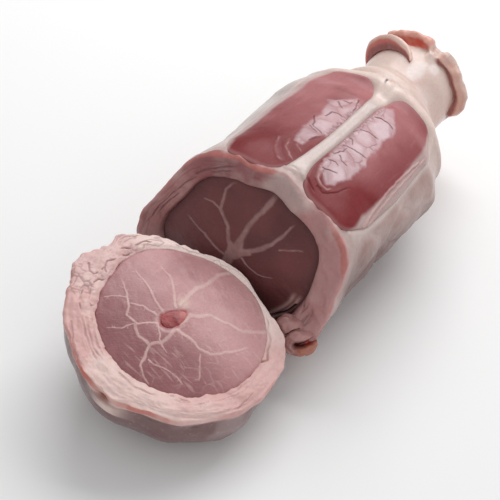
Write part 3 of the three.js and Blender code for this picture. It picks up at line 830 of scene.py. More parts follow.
def jacketWeb():  # the jacket's rings, and where each of their points lies
    form = jacketForm
    rim = curveThrough(form["rim"], form["rimRows"])
    stations = np.arange(form["skinFrom"], shank["neckEnd"], form["skinStep"])
    skin = np.stack([alongLine(shank["radii"], stations), stations], axis=1)
    parts = [form["core"], rim, skin, np.zeros((form["collarRows"], 2)), form["cap"]]
    bm, row, angle, radius, station, kind = ringBands(parts, form["steps"])
    at = SimpleNamespace(angle=angle, roll=turnBetween(90, angle))
    at.isCore, at.isRim, at.isSkin, at.isCollar, at.isCap = [kind == index for index in range(5)]
    rimStart = len(form["core"])
    collarStart = rimStart + len(rim) + len(skin)
    at.rimShare = np.where(at.isRim, (row - rimStart) / (form["rimRows"] - 1), 0)
    collarRow = np.clip(row - collarStart, 0, form["collarRows"] - 1)
    at.collarShare = collarRow / (form["collarRows"] - 1)
    collarRadius, collarStation, at.farShare, at.rollShare, at.onFold = collarPlace(collarRow, at.roll)
    at.radius = np.where(at.isCollar, collarRadius, radius)
    at.station = np.where(at.isCollar, collarStation, station)
    return bm, at


def shapeRim(at):  # the solids' own crags, a bumpy crest, the lap over the lean and the pointed corner
    base = unshifted(shankPoint(at.radius, at.station, at.angle))
    amount = np.where(at.isRim, shank["crag"] * mix(0.35, 0.8, smoothStep(31, 36, at.radius)), 0)
    at.radius = at.radius + 0.6 * cragAt(base, 1) * amount
    at.station = at.station + cragAt(base + 31, 1) * amount
    at.aroundRim = unrolled(at.angle, 0)
    low, high = jacketForm["crest"]
    notched = 0.75 * rough(at.aroundRim, 5.5, 3, 19) + 0.4 * noise(at.aroundRim, 2.1, 7)
    spread = 0.08
    nearCrest = between(low - spread, high + spread, at.rimShare, spread) * at.isRim
    at.radius = at.radius + 0.5 * nearCrest * notched
    at.station = at.station - 0.8 * nearCrest * (notched + 0.2)
    lid = jacketForm["lid"]
    onLid = hump(turnBetween(at.angle, lid["angle"]), lid["halfAngle"])
    at.lidReach = lid["amount"] * (onLid * (1 - smoothStep(30.5, 34.5, at.radius)))
    at.radius = at.radius - at.lidReach * at.isRim
    tip = shank["tip"]
    towardsTip = hump(turnBetween(at.angle, tip["angle"]), tip["halfAngle"])
    at.tipShare = np.where(at.isCore, 0, towardsTip * (1 - smoothStep(0, tip["length"], at.station)))
    at.radius = at.radius + tip["out"] * at.tipShare
    at.station = at.station - tip["forward"] * at.tipShare
    at.points = shankPoint(at.radius, at.station, at.angle)


def markSkin(at):  # how far each point belongs to the ridge, the flanks, their lumps and the neck
    cord, lumps, flank, leftFlank = [jacketForm[key] for key in ("cord", "lumps", "flank", "leftFlank")]
    shoulder, station, roll = shank["shoulder"], at.station, at.roll
    at.onBody = inRange((2, 10, shoulder - 2, shoulder + 10), station)
    at.onNeck = smoothStep(shoulder - 2, shoulder + 9, station)
    at.nearMuscle = np.minimum(*[muscleShare(name, station, roll) for name in muscles])
    at.onCord = hump(roll - cord["roll"], cord["halfRoll"]) * at.onBody
    at.onFlank = hump(roll - flank["roll"], flank["halfRoll"]) * at.onBody
    at.onLeftFlank = hump(roll - leftFlank["roll"], leftFlank["halfRoll"]) * at.onBody
    at.streaks = rough(at.points * [1, 0.16, 1], 2.0, 2, 13)
    lumpy = warped(warped(at.points, 14, 4, 7), 5, 1, 17)
    at.lumpBorder, at.lumpValue = cells(lumpy * [1, 0.7, 1], flank["pillow"], 5)
    at.onLumps = inRange(lumps["rolls"], roll) * inRange(lumps["stations"], station)
    flat = unrolled(roll, station)
    nick, nickTail = onSkin([jacketForm["nick"], jacketForm["nickTail"]])
    at.nick = nearRoute(flat[:, 0], flat[:, 1], nick, 1.0, 1.0) * at.isSkin
    at.nickTail = nearRoute(flat[:, 0], flat[:, 1], nickTail, 1.3, 0.6, 0.5) * at.isSkin


def skinRelief(at):
    form = jacketForm
    cord, band, knot, flank = [form[key] for key in ("cord", "band", "knot", "flank")]
    station, roll, place = at.station, at.roll, unshifted(at.points)
    height = cord["height"] * at.onCord
    height = height + band["height"] * onSpot(band, station, roll)
    height = height + knot["height"] * onSpot(knot, station, roll)  # where the ridge meets the band
    height = height + form["unevenness"] * noise(place + np.array([50, 0, 0]), form["unevennessSize"])
    height = height + 0.5 * flank["height"] * noise(place, flank["size"]) * at.onFlank
    relief = at.onLumps * (1 - 0.6 * smoothStep(48, 64, station))
    height = height + relief * (1.2 * (smoothStep(0, 3.6, at.lumpBorder) - 0.7) + 0.4 * at.lumpValue)
    height = height + 0.16 * rough(at.points, 3.2, 2, 44) * (1 - 0.6 * at.onNeck)
    height = height + form["leftFlank"]["streakHeight"] * at.streaks * at.onLeftFlank
    height = np.where(at.isSkin | at.isRim, height * inRange(form["reliefRange"], station), 0)
    dish = form["dish"] * (1 - smoothStep(0.82, 1.0, at.nearMuscle))  # the muscles lie in it
    bead = form["bead"] * hump(at.nearMuscle - 1.05, 0.05) * (1 - 0.6 * at.onCord)
    height = height + np.where(at.isSkin, bead - dish, 0) * smoothStep(3, 7, station)
    return height - 0.5 * at.nick - 0.25 * at.nickTail


def rimRelief(at):  # fine wrinkles at the upper left and stacked layers at the lower right
    along = stack(np.radians(at.angle) * 35, at.radius, 0)
    rx, ry = warped(facePlace(at.radius, at.angle), 2.5, 0.35, 6).T[:2]
    fold = anyRoute(rx, ry, [polar(route) for route in jacketForm["rimWrinkles"]], 0.55, 0.3, 0.7)
    fine = wrinkles(warped(along * [0.2, 1, 1], 3, 0.5, 4), 1.7, 0.16, 3)
    fine = fine * onArc(jacketForm, "wrinkles", at.angle)
    at.fold = np.maximum(fold, 0.4 * fine) * between(31.5, 38.2, at.radius, 0.8) * at.isRim
    layer = wrinkles(warped(along * [0.12, 1, 1], 3, 0.4, 24), 1.5, 0.22, 8)
    layer = layer * onArc(jacketForm, "layers", turnBetween(at.angle, 0))
    at.layer = layer * between(30.6, 35.5, at.radius, 0.8) * at.isRim
    height = np.where(at.isRim, 0.15 * rough(at.points, 2.2, 2, 71) - 0.5 * at.fold - 0.4 * at.layer, 0)
    ragged = 0.42 * rough(at.points, 3.2, 3, 77) * smoothStep(18.5, 20, at.radius)
    return height + np.where(at.isCollar, ragged, 0)


def skinTint(at):
    station, roll, points = at.station, at.roll, at.points
    mottling = rough(points, 12, 3, 61)
    onTop = onSpot(jacketForm["top"], station, roll)
    # painted light on the top of the shoulder, weaker on the neck
    paintedLightOnTop = hump(roll - 25, 38) * smoothStep(78, 90, station) * (0.8 + 0.4 * rough(points, 15, 2, 66))
    glints = []
    for middle, towards, halfLength, halfRoll, strength in jacketForm["glints"]:
        glint = hump(station - middle, halfLength) * hump(roll - towards, halfRoll)
        glints.append(("glint", strength * smoothStep(0.2, 0.75, glint)))
    onPillows = at.onLumps * smoothStep(0.1, 0.9, smoothStep(0, 3.6, at.lumpBorder))
    return paint(len(roll), jacketTones, "under", [
        ("silver", at.onLeftFlank * 1.3),
        ("streak", at.onLeftFlank * smoothStep(0.1, 0.6, at.streaks) * 0.6),
        ("flank", onPillows * (0.6 + 0.4 * at.lumpValue)),
        ("flankLine", at.onLumps * (1 - smoothStep(0.1, 0.7, at.lumpBorder)) * 0.3),
        ("ridge", at.onCord * 1.1 + 0.9 * hump(at.nearMuscle - 1.06, 0.09) * at.onBody),
        ("cream", at.onNeck + onTop + 0.3 * smoothStep(0.2, 0.8, mottling) * at.onBody),
        ("bright", paintedLightOnTop * (1 - 0.75 * at.onNeck)),
        ("deepPink", 0.25 * patches(points, 0.2, 0.8, 16, 3, 88) * (1 - at.onNeck)),
        ("flush", 0.4 * at.onNeck * patches(points, -0.1, 0.6, 14, 2, 5)),
        ("flush", 0.25 * at.onNeck * smoothStep(50, 85, roll)),
        *glints,
        # painted light where the ridge meets the band
        ("bright", 0.8 * onSpot(jacketForm["paintedLightSpot"], station, roll)),
        ("flank", 0.5 * smoothStep(105, 150, np.abs(roll))),
        # painted shade on the lower right flank, reaching higher towards the cut
        ("low", 0.95 * smoothStep(66, 100, roll + 0.4 * (40 - station)) * at.onBody),
        ("spot", at.nick * 1.5),
        ("flush", at.nickTail * 0.8),
    ])


def rimTint(at):
    lowCrest, highCrest = jacketForm["crest"]
    angle, redder = at.angle, patches(at.aroundRim, -0.4, 0.5, 9, 3, 90)
    crestFrom = mix(lowCrest + 0.03, lowCrest - 0.02, redder)
    uneven = 0.03 * rough(at.aroundRim, 4, 3, 45)
    crest = between(crestFrom, highCrest, at.rimShare + uneven, 0.035) * at.isRim
    return paint(len(angle), jacketTones, "band", [
        ("bandDark", onArc(jacketForm, "dark", angle) * 0.9),
        ("deepPink", onArc(jacketForm, "deepPink", angle) * 0.45),
        ("ridge", 0.6 * onArc(jacketForm, "ridge", angle)),
        ("ridge", 0.25 * patches(at.points, 0, 0.7, 6, 3, 35)),
        # painted shade on the inner wall, where the rim turns into the recess
        ("wall", 1 - smoothStep(30.0, 31.2, at.radius + at.lidReach)),
        ("wrinkle", 0.6 * at.fold),
        # painted shade in the gaps between the stacked layers
        ("layerGapShade", 0.4 * at.layer),
        ("crest", crest * mix(0.2, 0.95, redder)),
    ])


def collarTint(at, tint):  # cream on its outer edge, pink brown in the roll, orange under the far lip
    share, points, roll = at.collarShare, at.points, at.roll
    uneven = 0.035 * rough(points, 4, 3, 38)
    pinker = 0.75 + 0.7 * rough(points, 5, 2, 81)
    streak = between(mix(0.33, 0.39, smoothStep(-8, 8, roll)), 0.5, share + 0.6 * uneven, 0.03) * at.farShare
    streak = streak * between(-24, 13, roll + 3 * rough(points, 4, 2, 8), 4)
    edgeTan = smoothStep(0.6, 0.8, share) * (0.5 + 0.5 * rough(points, 4, 2, 52))
    return paintedOver(tint, jacketTones, [
        ("flush", 0.5 * smoothStep(0.2, 0.6, share)),
        ("lip", pinker * between(0.42, 0.58, share + uneven, 0.06) * at.rollShare),
        ("rollInside", between(0.35, 0.44, share + uneven, 0.035) * at.rollShare),
        ("salmon", 0.8 * at.farShare * between(0.54, 0.68, share, 0.07)),
        ("orange", streak * (0.85 + 0.3 * rough(points, 3, 2, 58))),
        ("bright", 0.7 * at.onFold),
        ("tan", 0.8 * edgeTan * at.rollShare),
    ])


def buildJacket():
    bm, at = jacketWeb()
    shapeRim(at)
    markSkin(at)
    at.points = displaced(bm, at.points, skinRelief(at) + rimRelief(at))
    highCrest = jacketForm["crest"][1]
    onRim = np.where(at.isRim, 1 - smoothStep(highCrest + 0.03, highCrest + 0.12, at.rimShare), 0)
    tint = mix(skinTint(at), rimTint(at), onRim[:, None])
    tint = paintedOver(tint, jacketTones, [
        ("tip", 1.1 * at.tipShare * smoothStep(0.5, 0.9, at.tipShare)),
        # the hidden core takes the same painted shade
        ("wall", at.isCore * 1.0),
    ])
    tint = np.where((at.isCollar | at.isCap)[:, None], collarTint(at, tint), tint)
    wet = 0.3 + 0.2 * at.onNeck + 0.15 * at.onCord - 0.15 * onRim + 0.2 * rough(at.points, 7, 2, 23)
    writePiece("jacket", bm, at.points, "shank_fat", "shank_fat", tint, np.clip(wet, 0, 1))


buildJacket()


# The skin flap that droops forwards over the neck from the collar's upper left

hoodForm = {
    "gridRound": 170, "gridOut": 40, "thickness": 3.0, "rolls": (-100, 8), "roundFrom": 0.45,
    "edge": [(-100, 18.8, 117.5), (-76, 19.8, 116.4), (-64, 21.9, 117.8), (-55, 23.2, 119.0),
             (-40, 23.6, 119.3), (-27, 23.4, 118.9), (-14, 22.7, 117.3), (-3, 21.6, 115.6),
             (4, 20.3, 113.9), (8, 18.9, 112.4)],
    "root": [(-100, 17.4, 118), (-60, 18.0, 117), (-30, 18.0, 116.8), (-12, 17.8, 115.4), (0, 17.6, 113.9),
             (8, 17.3, 112.6)],
    # the inside is darkened further near the root with painted shade
    "inside": (200, 108, 98), "shadedInside": (148, 84, 80), "rimTone": (222, 182, 170),
    "outside": (202, 164, 152), "bright": (236, 208, 197),
}


def lineOfRolls(rows, roll):
    table = np.array(rows)
    return [np.interp(roll, table[:, 0], table[:, column]) for column in (1, 2)]


def buildHood():
    form = hoodForm
    bm = bmesh.new()
    bmesh.ops.create_grid(bm, x_segments=form["gridRound"], y_segments=form["gridOut"], size=1)
    bmesh.ops.solidify(bm, geom=bm.faces[:], thickness=0.02)
    co = np.array([v.co for v in bm.verts])
    side = np.where(co[:, 2] > co[:, 2].mean(), 1, -1)  # the front of the lip, or its back
    around, out = [np.clip((co[:, axis] + 1) / 2, 0, 1) for axis in (0, 1)]
    roll = mix(*form["rolls"], around)
    flat = stack(np.radians(roll) * 22, out * 6, 0)
    edgeRadius, edgeStation = lineOfRolls(form["edge"], roll)
    rootRadius, rootStation = lineOfRolls(form["root"], roll)
    radius, station = mix(rootRadius, edgeRadius, out), mix(rootStation, edgeStation, out)
    radius = radius + 0.25 * rough(flat, 5, 2, 12) * out
    station = station + 0.5 * rough(flat, 7, 2, 2) * out
    bluntness = np.clip((out - form["roundFrom"]) / (1 - form["roundFrom"]), 0, 1)
    thick = form["thickness"] * np.sqrt(1 - 0.97 * bluntness ** 2) * (1 + 0.15 * rough(flat, 4, 2, 33))
    length = np.maximum(np.hypot(edgeRadius - rootRadius, edgeStation - rootStation), 0.1)
    radius = radius + side * thick / 2 * (edgeStation - rootStation + 1) / length
    station = station - side * thick / 2 * (edgeRadius - rootRadius) / length
    points = shankPoint(radius, station, 90 - roll)
    rimFrom = mix(0.6, 0.42, smoothStep(-30, -5, roll))
    front = np.where(side > 0, 1 - smoothStep(rimFrom, rimFrom + 0.2, out + 0.05 * rough(flat, 3, 2, 7)), 0)
    near = smoothStep(-40, -10, roll)
    onEdge = np.where(side > 0, smoothStep(rimFrom + 0.12, rimFrom + 0.4, out), 0.3)
    tint = paint(len(roll), form, "outside", [
        ("inside", front),
        # painted shade deep under the flap, near its root
        ("shadedInside", front * (1 - smoothStep(0.25, 0.6, out))),
        ("bright", 0.8 * smoothStep(rimFrom, rimFrom + 0.25, out) * near),
        ("rimTone", (1 - near) * onEdge),
    ])
    wet = 0.35 + 0.2 * rough(flat, 4, 2, 8)
    writePiece("collarFlap", bm, points, "shank_fat", "shank_fat", tint, wet)


buildHood()


# The fat that the slice hangs by: a fold beside the slice, and a flap at the rim's corner with a pocket
# painted dark as shadow

hinge = {
    "subdivisions": 6, "pale": (182, 136, 133), "brown": (168, 104, 86), "dark": (80, 22, 18),
    # the slot tone and the dark tone are painted shadow in the slots
    "red": (150, 52, 44), "flush": (150, 98, 94), "slotShade": (84, 50, 50),
    "towards": (0.417, -0.604, 0.679), "upward": (-0.386, 0.559, 0.734), "aside": (0.823, 0.568, 0),
    # routes on the folds run across the view and up, in millimetres from their middles
    "folds": {
        "hingeFold": {"centre": (26.2, -5.6, 18.0), "size": (6.0, 5.0, 5.4), "depth": 0.9, "brownBelow": -9,
                      "slot": [(-1.5, -1.5), (0.4, -0.6), (3.4, 0.2)], "widths": (0.5, 0.9)},
        "tipFold": {"centre": (32.4, -8.2, 17.4), "size": (6.3, 4.4, 4.6), "depth": 2.6, "brownBelow": 0.0,
                    "slot": [(-1.8, -1.0), (1.4, -0.5), (3.6, 0.5), (6.4, 2.2)], "widths": (2.9, 1.1)},
    },
}


def buildHingeFold(name):
    form = hinge
    fold = form["folds"][name]
    bm = bmesh.new()
    bmesh.ops.create_icosphere(bm, subdivisions=form["subdivisions"], radius=1)
    unit = np.array([v.co for v in bm.verts])  # x lies across the view, y into it and z up in it
    scaled = unit * np.array(fold["size"])
    bent = warped(scaled, 2.5, 0.5, 6)
    facing = smoothStep(-0.1, 0.3, -unit[:, 1])
    slot = nearRoute(bent[:, 0], bent[:, 2], fold["slot"], *fold["widths"]) * facing
    lumps = rough(scaled, 5, 3, 4)
    folds = wrinkles(warped(scaled * [0.5, 1, 0.5], 3, 0.5, 24), 4, 0.14, 8)
    push = 0.8 * lumps - fold["depth"] * slot - 0.3 * folds
    points = np.zeros_like(scaled)
    for side, (axis, sign) in enumerate((("aside", 1), ("towards", -1), ("upward", 1))):
        share = scaled[:, side] + unit[:, side] * push
        points = points + share[:, None] * np.array(form[axis]) * sign
    points = points + np.array(fold["centre"]) + shankShift
    below = fold["brownBelow"] + 0.3 * scaled[:, 0] + 0.6 * lumps - scaled[:, 2]
    # the slot is painted dark as shadow
    slotTones = [("slotShade", slot)]
    if fold["depth"] > 1:
        slotTones = [("dark", 1.3 * slot), ("red", slot * smoothStep(1.5, 3.5, scaled[:, 0]))]
    tint = paint(len(unit), form, "pale", [
        ("flush", 0.7 * patches(scaled, 0, 0.6, 4, 2, 44) + 0.4 * folds),
        ("brown", smoothStep(-0.2, 1.2, below) * smoothStep(-3, -0.5, scaled[:, 0])),
        *slotTones,
    ])
    writePiece(name, bm, points, "shank_fat", "shank_fat", tint, 0.3 + 0.3 * slot)


for name in hinge["folds"]:
    buildHingeFold(name)


# The lean inside the cut, its tones darkened with painted shade

recess = {
    "steps": 440, "faceRows": 110,
    # the tones are darkened with painted shade, as though the rim shaded the whole recess; the edge tone is
    # darker painted shade under the rim, and the slot tone is painted shadow
    "lean": (115, 61, 62), "deep": (96, 50, 51), "vein": (160, 122, 120), "edge": (88, 46, 47),
    "layer": (178, 142, 138), "slot": (52, 26, 28),
    # each vein is (radius, angle) points, its first width and its last
    "veins": [
        ([(5, 146), (7, 138), (11.4, 126), (17.9, 130), (20.7, 124), (24.3, 118), (28.5, 108)], 1.7, 0.7),
        ([(17.9, 130), (20.6, 134), (24.2, 142)], 0.7, 0.3),
        ([(5, 95), (7, 92), (13.1, 84), (18.5, 80), (23.6, 77), (30, 75)], 2.4, 2.0),
        ([(3.5, 52), (10.1, 39), (14.8, 40), (19.9, 45), (27, 49)], 2.0, 0.5),
        ([(5, -155), (7.2, -170), (12.3, 174), (15.3, 168), (20.1, 167), (25, 165)], 0.8, 0.3),
        ([(2.1, 4), (5.4, -19), (10.5, -22), (16, -10)], 0.8, 0.3),
        ([(16.8, 31), (20.5, 30), (25, 28)], 0.5, 0.3),
    ],
    # the star where they meet, across and up from the middle
    "hub": [(-5.8, -5), (-4.7, 0.5), (-5.3, 4.8), (-3.9, 4.3), (-2.4, 3.6), (-1.5, 6.5), (1, 6.6), (1.5, 4.2),
            (4.8, 4.4), (5, 2.6), (2.2, 1), (0.8, -0.6), (-1.4, -2), (-2.2, -5)],
    "layers": [(26.2, 0.9), (28.2, 0.9)],
    "back": [(25.2, 26), (25.2, 46), (18.7, 62.7), (10.45, 71.5), (0, 73.7)],
    "slotRoute": [(28.2, -20), (28.4, -32), (27.4, -45), (24.5, -58)],
}


def buildRecess():
    form = recess
    edge = shank["innerRadius"] + 0.4  # just into the fat round it, so that no gap shows
    rings = np.linspace(0, edge - 0.6, form["faceRows"])
    face = np.stack([rings, shank["recessDepth"] - shank["domeHeight"] * (1 - (rings / edge) ** 2)], axis=1)
    turnIn = [(edge - 0.2, shank["recessDepth"] + 0.2), (edge, shank["recessDepth"] + 0.8)]
    bend = curveThrough([face[-1], *turnIn], 6)[1:]
    back = [(edge, shank["recessDepth"] + 3), *form["back"]]
    bm, row, angle, radius, station, kind = ringBands([face, bend, back], form["steps"])
    flat = facePlace(radius, angle)
    bx, by = warped(warped(flat, 8, 0.8, 2), 2.6, 0.35, 17).T[:2]
    vein = smoothStep(-0.5, 0.5, insideOutline(bx, by, form["hub"]))
    for route, wide, narrow in form["veins"]:
        vein = np.maximum(vein, nearRoute(bx, by, polar(route), wide, narrow, 0.9))
    grooves = rough(flat @ octaveTurn * [0.3, 2.0, 1], 3.0, 2, 9)

    # at the lower right thin layers of fat lie on each other, with a slot below them, painted dark as shadow
    wave = radius + 0.5 * rough(flat, 5, 2, 61)
    layers = np.max([hump(wave - middle, width) for middle, width in form["layers"]], axis=0)
    layers = between(-66, -18, turnBetween(angle, 0), 9) * layers
    slot = nearRoute(bx, by, polar(form["slotRoute"]), 0.9, 0.4)
    lift = 0.2 * vein + 0.3 * rough(flat, 9, 3, 6) + 0.07 * grooves + 0.9 * layers - 1.2 * slot
    points = shankPoint(radius, station - np.where(kind < 2, lift, 0), angle)
    # painted shade: the recess is dark all over, darker towards the rim, with painted shadow in the slot
    tint = paint(len(row), form, "lean", [
        ("deep", patches(flat, -0.3, 0.6, 15, 3, 12) * 0.9),
        ("deep", 0.4 * smoothStep(2, 20, -flat[:, 1])),
        ("edge", smoothStep(26.5, 30.5, radius) * 0.8),
        ("vein", vein * (0.78 + 0.4 * rough(flat, 2.2, 3, 41))),
        ("layer", 0.8 * layers),
        ("slot", slot),
    ])
    wet = 0.3 + 0.25 * rough(flat, 8, 2, 77)
    writePiece("recessLean", bm, points, "shank_lean", "shank_lean", tint, wet)


buildRecess()


# The slice, given as radius and angle round its marrow and height above its cut face

sliceForm = {
    "centre": (-2, -33.5, 30.6), "lean": (0.287, 0, 0.958),
    "leanRadius": 30.3, "leanOffset": (3.2, 0.2), "leanSwells": [(150, 26, 2.4)],
    "ringRadius": 38, "ringOffset": (3.2, -5.4),
    "ringSwells": [(163, 29, 6.3), (246, 22, -3), (291, 12, -2.2), (25, 14, 1.4), (58, 16, -2),
                   (112, 14, -1.4)],
    "leanDepth": 13, "domeHeight": 4.6, "wallHeight": 7, "bowlDepth": 29.5, "bowlRound": 0.9,
    "ringCrag": 0.9, "gap": 0.3,
}
sliceUp = Vector(sliceForm["lean"]).normalized()
sliceAlong = Vector((0, 1, 0))
sliceAcross = sliceAlong.cross(sliceUp).normalized()


def offCircle(radius, offset, angle):  # distance from the marrow to a circle round another middle
    turn = np.radians(angle)
    towards = offset[0] * np.cos(turn) + offset[1] * np.sin(turn)
    aside = offset[1] * np.cos(turn) - offset[0] * np.sin(turn)
    return towards + np.sqrt(radius * radius - aside * aside)


def sliceInner(angle):
    circle = offCircle(sliceForm["leanRadius"], sliceForm["leanOffset"], angle)
    return swollen(circle, sliceForm["leanSwells"], angle)


def sliceOuter(angle):
    circle = offCircle(sliceForm["ringRadius"], sliceForm["ringOffset"], angle)
    return swollen(circle, sliceForm["ringSwells"], angle)


def slicePoint(radius, height, angle):
    turn = np.radians(angle)
    point = np.array(sliceForm["centre"]) + shankShift
    for distance, direction in ((radius * np.cos(turn), sliceAcross), (radius * np.sin(turn), sliceAlong),
                                (height, sliceUp)):
        point = point + np.outer(distance, np.array(direction))
    point[:, 2] = np.maximum(point[:, 2], 0)
    return point


# routes are points across and along the cut face from the marrow's middle
sliceFat = {
    "steps": 620, "ringRows": 84, "bowlRows": 36,
    "pocket": [(0, -13), (0.6, -13), (0.96, -11.5), (1, -8), (0.99, -4)],
    "ring": [(0.98, -2.6), (0.972, -0.2), (1.0, 0.55), (1.12, 1.0), (1.3, 1.15), (1.55, 0.9), (1.8, 0.55),
             (1.94, 0.2), (1.995, -0.55), (1.985, -1.7), (1.945, -3.6), (1.94, -7)],
    # arcs of the ring: first angle, last, blend
    "arcs": {"net": (146, 206, 8), "shreds": (84, 158, 8), "innerShreds": (302, 350, 8),
             "flakes": (84, 200, 20), "front": (198, 360, 14), "torn": (118, 200, 14),
             "redCrest": (250, 308, 25), "reddest": (274, 302, 6), "rosy": (212, 246, 14),
             "creamFront": (262, 300, 14), "creamBack": (128, 150, 8), "allButRight": (34, 322, 14)},
    "cracks": [[(-37, -6.6), (-35.3, -3.6), (-32.6, -6.2), (-31, -6.4), (-29.9, -1.1), (-30.9, 1.4),
                (-29.1, 4.7), (-28.3, 5.9)],
               [(-29.9, -1.1), (-27.8, -3.1), (-27.2, 0.7)],
               [(-26.5, -4.2), (-28.7, -6.5), (-28.3, -11.6), (-25, -16.3), (-23, -17.5), (-23, -12.7),
                (-25.2, -7.3)],
               [(-26, -17.2), (-24.1, -17), (-22.7, -17.6)], [(-29.6, -13.9), (-27.1, -18.8), (-24.4, -21.7)],
               [(-33.1, 6), (-31.6, 8.5), (-28.3, 12.5), (-27, 18.2), (-24.9, 19.2)],
               [(-28.8, 5.1), (-28.1, 10.6), (-25.3, 16.5)]],
    "longFolds": [[(-27.9, -16.9), (-22.8, -22.8), (-17.3, -27.8), (-11.9, -31), (-6.6, -33.6), (-2, -34.2)],
                  [(-23.4, -20), (-18.2, -25.4), (-12.3, -29.6), (-6.6, -31.9), (-1.3, -32.4)],
                  [(-24.1, -26.9), (-19.5, -31.5), (-12.3, -36.3), (-6, -38.5)],
                  [(-19.7, -20.9), (-14.3, -26.2), (-8, -30), (-3.8, -30.1)],
                  [(0.1, -31.5), (6.8, -32.5), (12.5, -31.2), (16.2, -28.9)]],
    "edgeFolds": [[(33.5, -25), (36.5, -19.2), (38, -10.4), (37.9, -4.9), (37.9, -1.2)],
                  [(37.6, -10), (37.4, -14), (37.1, -20.7)]],
    "crestIn": [(300, 24, 2.4), (333, 19, 3.2)],  # where the crest lies further in: angle, half width, amount
    "edgeSwells": [(187, 10, 1.8), (169, 9, -2.4), (337, 12, 2.0)],
    "groove": [(32.3, 7.2), (33.3, 8.7), (31.3, 12.5), (29.5, 16), (26.2, 19.1), (24.2, 22.2), (21.9, 24.1)],
    "curl": {"angle": 272, "halfAngle": 3.6, "lipAngle": 275, "lipHalf": 8, "height": -1.3},
    "pale": (217, 181, 177), "rosy": (210, 162, 158), "cream": (228, 202, 194), "crack": (150, 98, 100),
    # the wall tones are darkened with painted shade, as the slice's outer wall faces down and forwards, away
    # from the light
    "crest": (196, 116, 106), "wall": (122, 92, 92), "wallGrey": (152, 130, 129), "wallRed": (114, 72, 74),
    "grooveShade": (150, 90, 86), "curlTone": (150, 88, 72), "thinPaleAndLit": (248, 226, 220),
}


def sliceFatWeb():  # the rings of the slice's fat, and where each of their points lies
    form = sliceFat
    ring = curveThrough(form["ring"], form["ringRows"], weights=(11, 1))
    steps = np.linspace(0, 1, form["bowlRows"] + 1)[1:] * math.pi / 2
    bowlShare = form["ring"][-1][0] * np.maximum(np.cos(steps), 0) ** sliceForm["bowlRound"]
    bowlShare[-1] = 0
    deep = sliceForm["bowlDepth"] - sliceForm["wallHeight"]
    bowl = np.stack([bowlShare, -sliceForm["wallHeight"] - deep * np.sin(steps)], axis=1)
    bm, _, angle, share, height, kind = ringBands([form["pocket"], ring, bowl], form["steps"])
    at = SimpleNamespace(angle=angle, share=share, onRing=kind == 1, onBowl=kind == 2)
    inner, outer = sliceInner(angle), swollen(sliceOuter(angle), form["edgeSwells"], angle)
    at.thick = smoothStep(1, 9, outer - inner)
    at.height = height * np.where(at.onRing & (height > 0), mix(0.3, 1, at.thick), 1)
    at.onTop = at.onRing & (at.height > -3.4)
    wallward = 1 - smoothStep(-5, -2, at.height)
    byInner = np.where(share <= 1, share * inner, mix(inner, outer, share - 1))
    byOuter = share / 2 * outer
    onSide = at.onRing & (share > 1.5)
    radius = np.where(at.onBowl, byOuter, np.where(onSide, mix(byInner, byOuter, wallward), byInner))
    drawnIn = swollen(0, form["crestIn"], angle) * smoothStep(-6, -1.5, at.height)
    at.radius = radius - drawnIn * smoothStep(1.4, 2, share) * at.onRing
    at.across = np.where(at.onRing, (share - 1) * (outer - inner), 0)
    around = np.radians(turnBetween(angle, 70)) * 35  # the pattern joins where the ring is thin
    at.flat = stack(around, at.across, 0)
    at.rimLine = stack(around, 0, 0)
    at.base = unshifted(slicePoint(at.radius, at.height, angle))
    return bm, at


def markCuts(at):  # cracks, folds, shreds and the groove of the cut fat
    form, angle, flat = sliceFat, at.angle, at.flat
    bx, by = warped(facePlace(at.radius, angle), 3.2, 0.45, 3).T[:2]
    crack = anyRoute(bx, by, form["cracks"], 0.42, 0.25, 0.8) * patches(flat, -0.45, 0.2, 2.4, 2, 58)
    at.folds = anyRoute(bx, by, form["longFolds"], 0.7, 0.4, 0.6) * patches(flat, -0.7, 0.2, 4, 2, 68)
    at.edgeFold = anyRoute(bx, by, form["edgeFolds"], 0.36, 0.24, 0.8) * patches(flat, -0.5, 0.3, 3, 2, 48)
    groove = nearRoute(bx, by, form["groove"], 0.9, 0.4, 0.9)
    at.groove = groove * mix(0.35, 1, hump(turnBetween(angle, 13), 5)) * (0.8 + 0.4 * rough(flat, 3, 2, 17))
    netBorder = cells(warped(flat, 3, 0.9, 12), 3.0, 21)[0]
    net = (1 - smoothStep(0.04, 0.24, netBorder)) * onArc(sliceFat, "net", angle)
    net = net * patches(flat, -0.1, 0.3, 7, 2, 30)
    shred = wrinkles(warped(flat, 2.5, 0.7, 2) * [0.22, 1, 1], 1.7, 0.14, 14)
    byLean = 0.8 * onArc(form, "innerShreds", angle) * between(-1, 2.5, at.across, 1)
    onShred = onArc(form, "shreds", angle) + byLean
    crack = np.maximum(crack, np.maximum(0.6 * net, 0.6 * shred * onShred))
    at.crack = crack * between(0.2, 12, at.across, 0.5)


def faceRelief(at):  # lumps and flakes of the cut face, less its cracks and folds
    flat, thick = at.flat, at.thick
    lift = cragAt(at.base, sliceForm["ringCrag"]) * mix(0.15, 0.5, thick)
    lift = lift + 0.3 * rough(flat * [0.5, 1, 1], 2.6, 3, 66) * mix(0.5, 1, thick)
    lift = lift + 0.3 * rough(flat * [0.2, 1, 1], 3.0, 3, 26) * mix(0.3, 1, thick)
    lift = lift + (0.45 * rough(flat, 4.5, 3, 86) + 0.1 * noise(flat, 0.9, 6)) * mix(0.3, 1, thick)
    lift = lift + 0.5 * np.abs(rough(flat * [0.4, 1, 1], 3.6, 2, 36)) * onArc(sliceFat, "flakes", at.angle)
    return lift - 0.5 * at.crack - 0.35 * at.folds - 0.22 * at.edgeFold - 0.9 * at.groove


